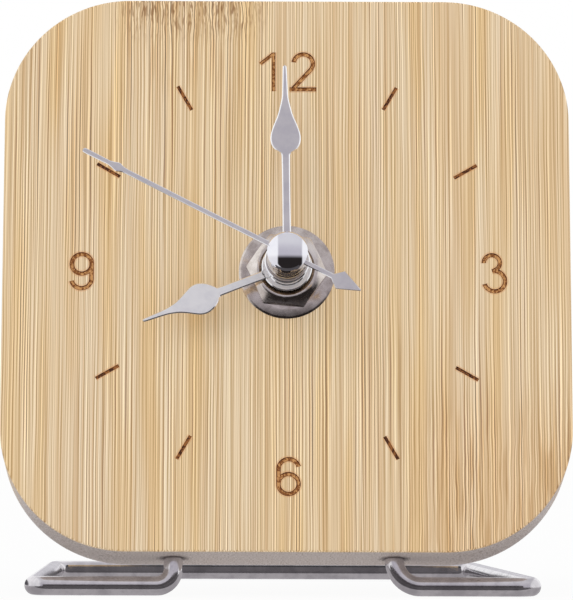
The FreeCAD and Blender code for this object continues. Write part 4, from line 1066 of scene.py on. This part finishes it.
@dataclass
class Movement:
    """The movement behind the board: moulded shells with softened edges, and the works inside."""

    shells: tuple[tuple[str, str, Finish, Body, str, float], ...] = (
        ("movement_case", "case_shell", CASE, Body.CLOCK, "case_plastic", 0.22),
        ("movement_cover", "cover_shell", CASE, Body.CLOCK, "case_plastic", 0.15),
        ("setting_knob", "fluted_knob", KNOB, Body.SETTING, "case_plastic", 0.1),
        ("rubber_gasket", "gasket_ring", RUBBER, Body.CLOCK, "gasket", 0.1),
        ("battery", "cell", CELL, Body.CLOCK, "cell", 0.1),
        ("positive_contact", "front_strip", STRIP, Body.CLOCK, "spring_strip", 0.05),
        ("negative_contact", "spring_leaf", STRIP, Body.CLOCK, "spring_strip", 0.05),
    )
    works: tuple[tuple[Finish, tuple[str, ...]], ...] = (
        (IRON, ("stator", "coil_core")),
        (BOBBIN, ("coil_bobbin",)),
        (WINDING, ("coil_winding",)),
        (BOARD, ("circuit_board",)),
        (CAN, ("quartz_crystal",)),
        (EPOXY, ("chip_blob",)),
        (ARBOR, ("second_arbor", "minute_arbor", "setting_arbor", "rotor_pinion")),
        (FERRITE, ("rotor_magnet",)),
        (WHEEL, ("second_wheel", "hour_wheel", "intermediate_wheel")),
        (WHEEL, ("third_wheel", "centre_wheel", "minute_wheel")),
    )

    def build(self) -> None:
        """Soften the shells and finish the works."""
        for node, name, finish, body, slot, bevel in self.shells:
            item = Shape.of_node(node).as_object(name, (finish,), Matrix.Identity(4))
            soften(item, bevel, 2, use_clamp_overlap=True, harden_normals=True)
            smooth(item, 35.0)
            deliver(item, body, node)
        for finish, nodes in self.works:
            for node in nodes:
                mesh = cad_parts[node].data
                mesh.materials.clear()
                mesh.materials.append(Paints.of(finish))
                log.info("%s: dressed as %s", node, finish.name)


@dataclass
class Studio:
    """White table and surroundings, soft light, glowing cards that only gloss sees, and the camera."""

    eye: Triple = (-5.62, -782.97, 35.54)
    yaw: float = -0.421
    pitch: float = 1.024
    roll: float = -0.197
    focal_pixels: float = 4555.4
    frame_pixels: tuple[int, int] = (573, 600)
    sensor: float = 36.0
    fill: float = 0.84
    key: float = 3.8
    side_share: float = 0.3
    floor_share: float = 0.93
    # painted reflections: glowing cards that set the metal's grey and dark bands where it mirrors the table
    # by the feet and its shade
    cards: tuple[tuple[str, Triple, Triple, float], ...] = (
        ("under_card", (110.0, 84.0, 0.1), (0.0, 11.0, 0.15), 171),
        ("front_card", (110.0, 24.0, 0.1), (0.0, -43.0, 0.15), 80),
        ("front_bar", (110.0, 6.0, 11.0), (0.0, -58.0, 5.7), 73),
        ("rear_card", (70.8, 13.0, 0.1), (-3.6, 26.5, 0.3), 88),
        ("rear_bar", (70.8, 1.0, 18.0), (-3.6, 19.5, 9.4), 98),
    )

    def camera(self) -> None:
        """Stand the camera where the photograph was taken."""
        data = bpy.data.cameras.new("camera")
        data.sensor_fit = "AUTO"
        data.sensor_width = self.sensor
        data.lens = self.focal_pixels * self.sensor / max(self.frame_pixels)
        data.clip_start, data.clip_end = 0.05, 20.0
        item = bpy.data.objects.new("camera", data)
        look = Matrix.Identity(4)
        for degrees, axis in ((self.yaw, "Z"), (self.pitch, "X"), (self.roll, "Y")):
            look = look @ Matrix.Rotation(math.radians(degrees), 4, axis)
        upright = Matrix.Rotation(math.pi / 2, 4, "X")
        item.matrix_world = Matrix.Translation(Vector(self.eye) * 0.001) @ look @ upright
        bpy.context.scene.collection.objects.link(item)
        bpy.context.scene.camera = item

    def world(self) -> None:
        """Even white for the eye and for soft light; for gloss, white with a grey window over a dark pool."""
        world = bpy.data.worlds.new("studio")
        bpy.context.scene.world = world
        world.use_nodes = True
        g = Graph(world.node_tree)
        path = g.node("LightPath").outputs
        way = g.node("SeparateXYZ", {0: g.node("TexCoord").outputs["Generated"]}).outputs
        span = g.maths("SQRT", g.minus(2.02, g.times(way[1], 2.0)))
        across = g.maths("ABSOLUTE", g.minus(g.maths("DIVIDE", way[0], span), 0.1))
        high = g.maths("DIVIDE", way[2], span)
        window = g.times(g.spread(across, 0.49, 0.42), g.spread(high, 0.90, 0.80))
        narrow = g.plus(across, g.times(g.spread(high, -0.3, -0.6), 0.22))
        pool = g.times(g.spread(narrow, 0.50, 0.44), g.spread(high, -0.545, -0.50))
        foot = g.spread(high, 0.05, -0.13)
        grey = g.blend(g.spread(high, 0.1, 0.6), tone(190, 187, 196), tone(214, 213, 218))
        rim = g.times(g.spread(across, 0.88, 0.95), g.spread(high, 0.9, 0.8))
        sides = g.blend(rim, tone(250, 250, 252), tone(84, 82, 86))
        above = g.blend(window, sides, grey)
        seen = g.blend(foot, above, g.blend(pool, tone(232, 231, 234), tone(40, 36, 36)))
        soft = g.blend(path["Is Glossy Ray"], (self.fill,) * 3 + (1.0,), seen)
        plain = g.maths("MAXIMUM", path["Is Camera Ray"], path["Is Transmission Ray"])
        g.feed(world.node_tree.nodes["Background"].inputs["Color"], g.blend(plain, soft, WHITE))

    def aside(self, item: Item, *rays: str) -> None:
        """Hide an object of the studio from some kinds of ray."""
        for ray in rays:
            setattr(item, "visible_" + ray, False)

    def table(self) -> None:
        """A white table that keeps the clock's shadow."""
        shape = Shape()
        bmesh.ops.create_grid(shape.mesh, x_segments=1, y_segments=1, size=1500.0)
        item = shape.as_object("table", (), ON_TABLE)
        g = Surface("table_white", (0.86, 0.86, 0.86, 1.0), 0.0, 0.9)
        glow = g.node("Emission", {"Color": WHITE, "Strength": 1.0}).outputs[0]
        path = g.node("LightPath").outputs
        eye = g.maths("MAXIMUM", path["Is Camera Ray"], path["Is Transmission Ray"])
        mixed = g.node("MixShader", {0: g.times(eye, self.floor_share), 1: g.shader.outputs[0], 2: glow})
        g.feed(g.tree.nodes["Material Output"].inputs["Surface"], mixed.outputs[0])
        item.data.materials.append(g.material)
        self.aside(item, "glossy", "diffuse")

    def card(self, name: str, size: Triple, middle: Triple, shade: float) -> None:
        """A glowing card by the clock's feet that only the metal sees, a painted reflection, with the display
        value that it glows at.
        """
        item = Shape.block(size, middle).as_object(name, (), ON_TABLE)
        glow = Surface(name, (0.0, 0.0, 0.0, 1.0), 0.0, 1.0)
        material = glow.finish(Emission_Color=tone(shade, shade - 3, shade), Emission_Strength=1.0)
        item.data.materials.append(material)
        self.aside(item, "camera", "diffuse", "shadow", "transmission")

    def lamp(self, name: str, at: Triple, size: float, power: float) -> None:
        """A square soft lamp aimed at the dial; its place and side are in metres, its power in watts."""
        data = bpy.data.lights.new(name, "AREA")
        data.size = size
        data.energy = power
        item = bpy.data.objects.new(name, data)
        place = Vector(at)
        item.location = place
        item.rotation_euler = (Vector((0.0, 0.0, 0.05)) - place).to_track_quat("-Z", "Y").to_euler()
        item.visible_glossy = False
        bpy.context.scene.collection.objects.link(item)

    def build(self) -> None:
        """Set the camera, the surroundings and the lamps."""
        self.camera()
        self.world()
        self.table()
        for card in self.cards:
            self.card(*card)
        self.lamp("key_lamp", (-0.7, -0.9, 1.3), 0.9, self.key)
        self.lamp("side_lamp", (1.0, -0.6, 0.7), 0.8, self.key * self.side_share)
        bpy.context.scene.view_settings.view_transform = "Standard"


def corners(box: Sequence[Vector]) -> list[list[float]]:
    """Two corners as plain numbers."""
    return [[float(value) for value in corner] for corner in box]


def main() -> None:
    """Dress the frame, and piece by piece."""
    logging.basicConfig(level=logging.INFO, format="%(message)s")
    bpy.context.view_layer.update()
    Studio().build()
    DialBoard().build()
    WireStand().build()
    Clamp().build()
    Hands().build()
    Movement().build()
    bpy.context.view_layer.update()


if __name__ == "__main__":
    main()
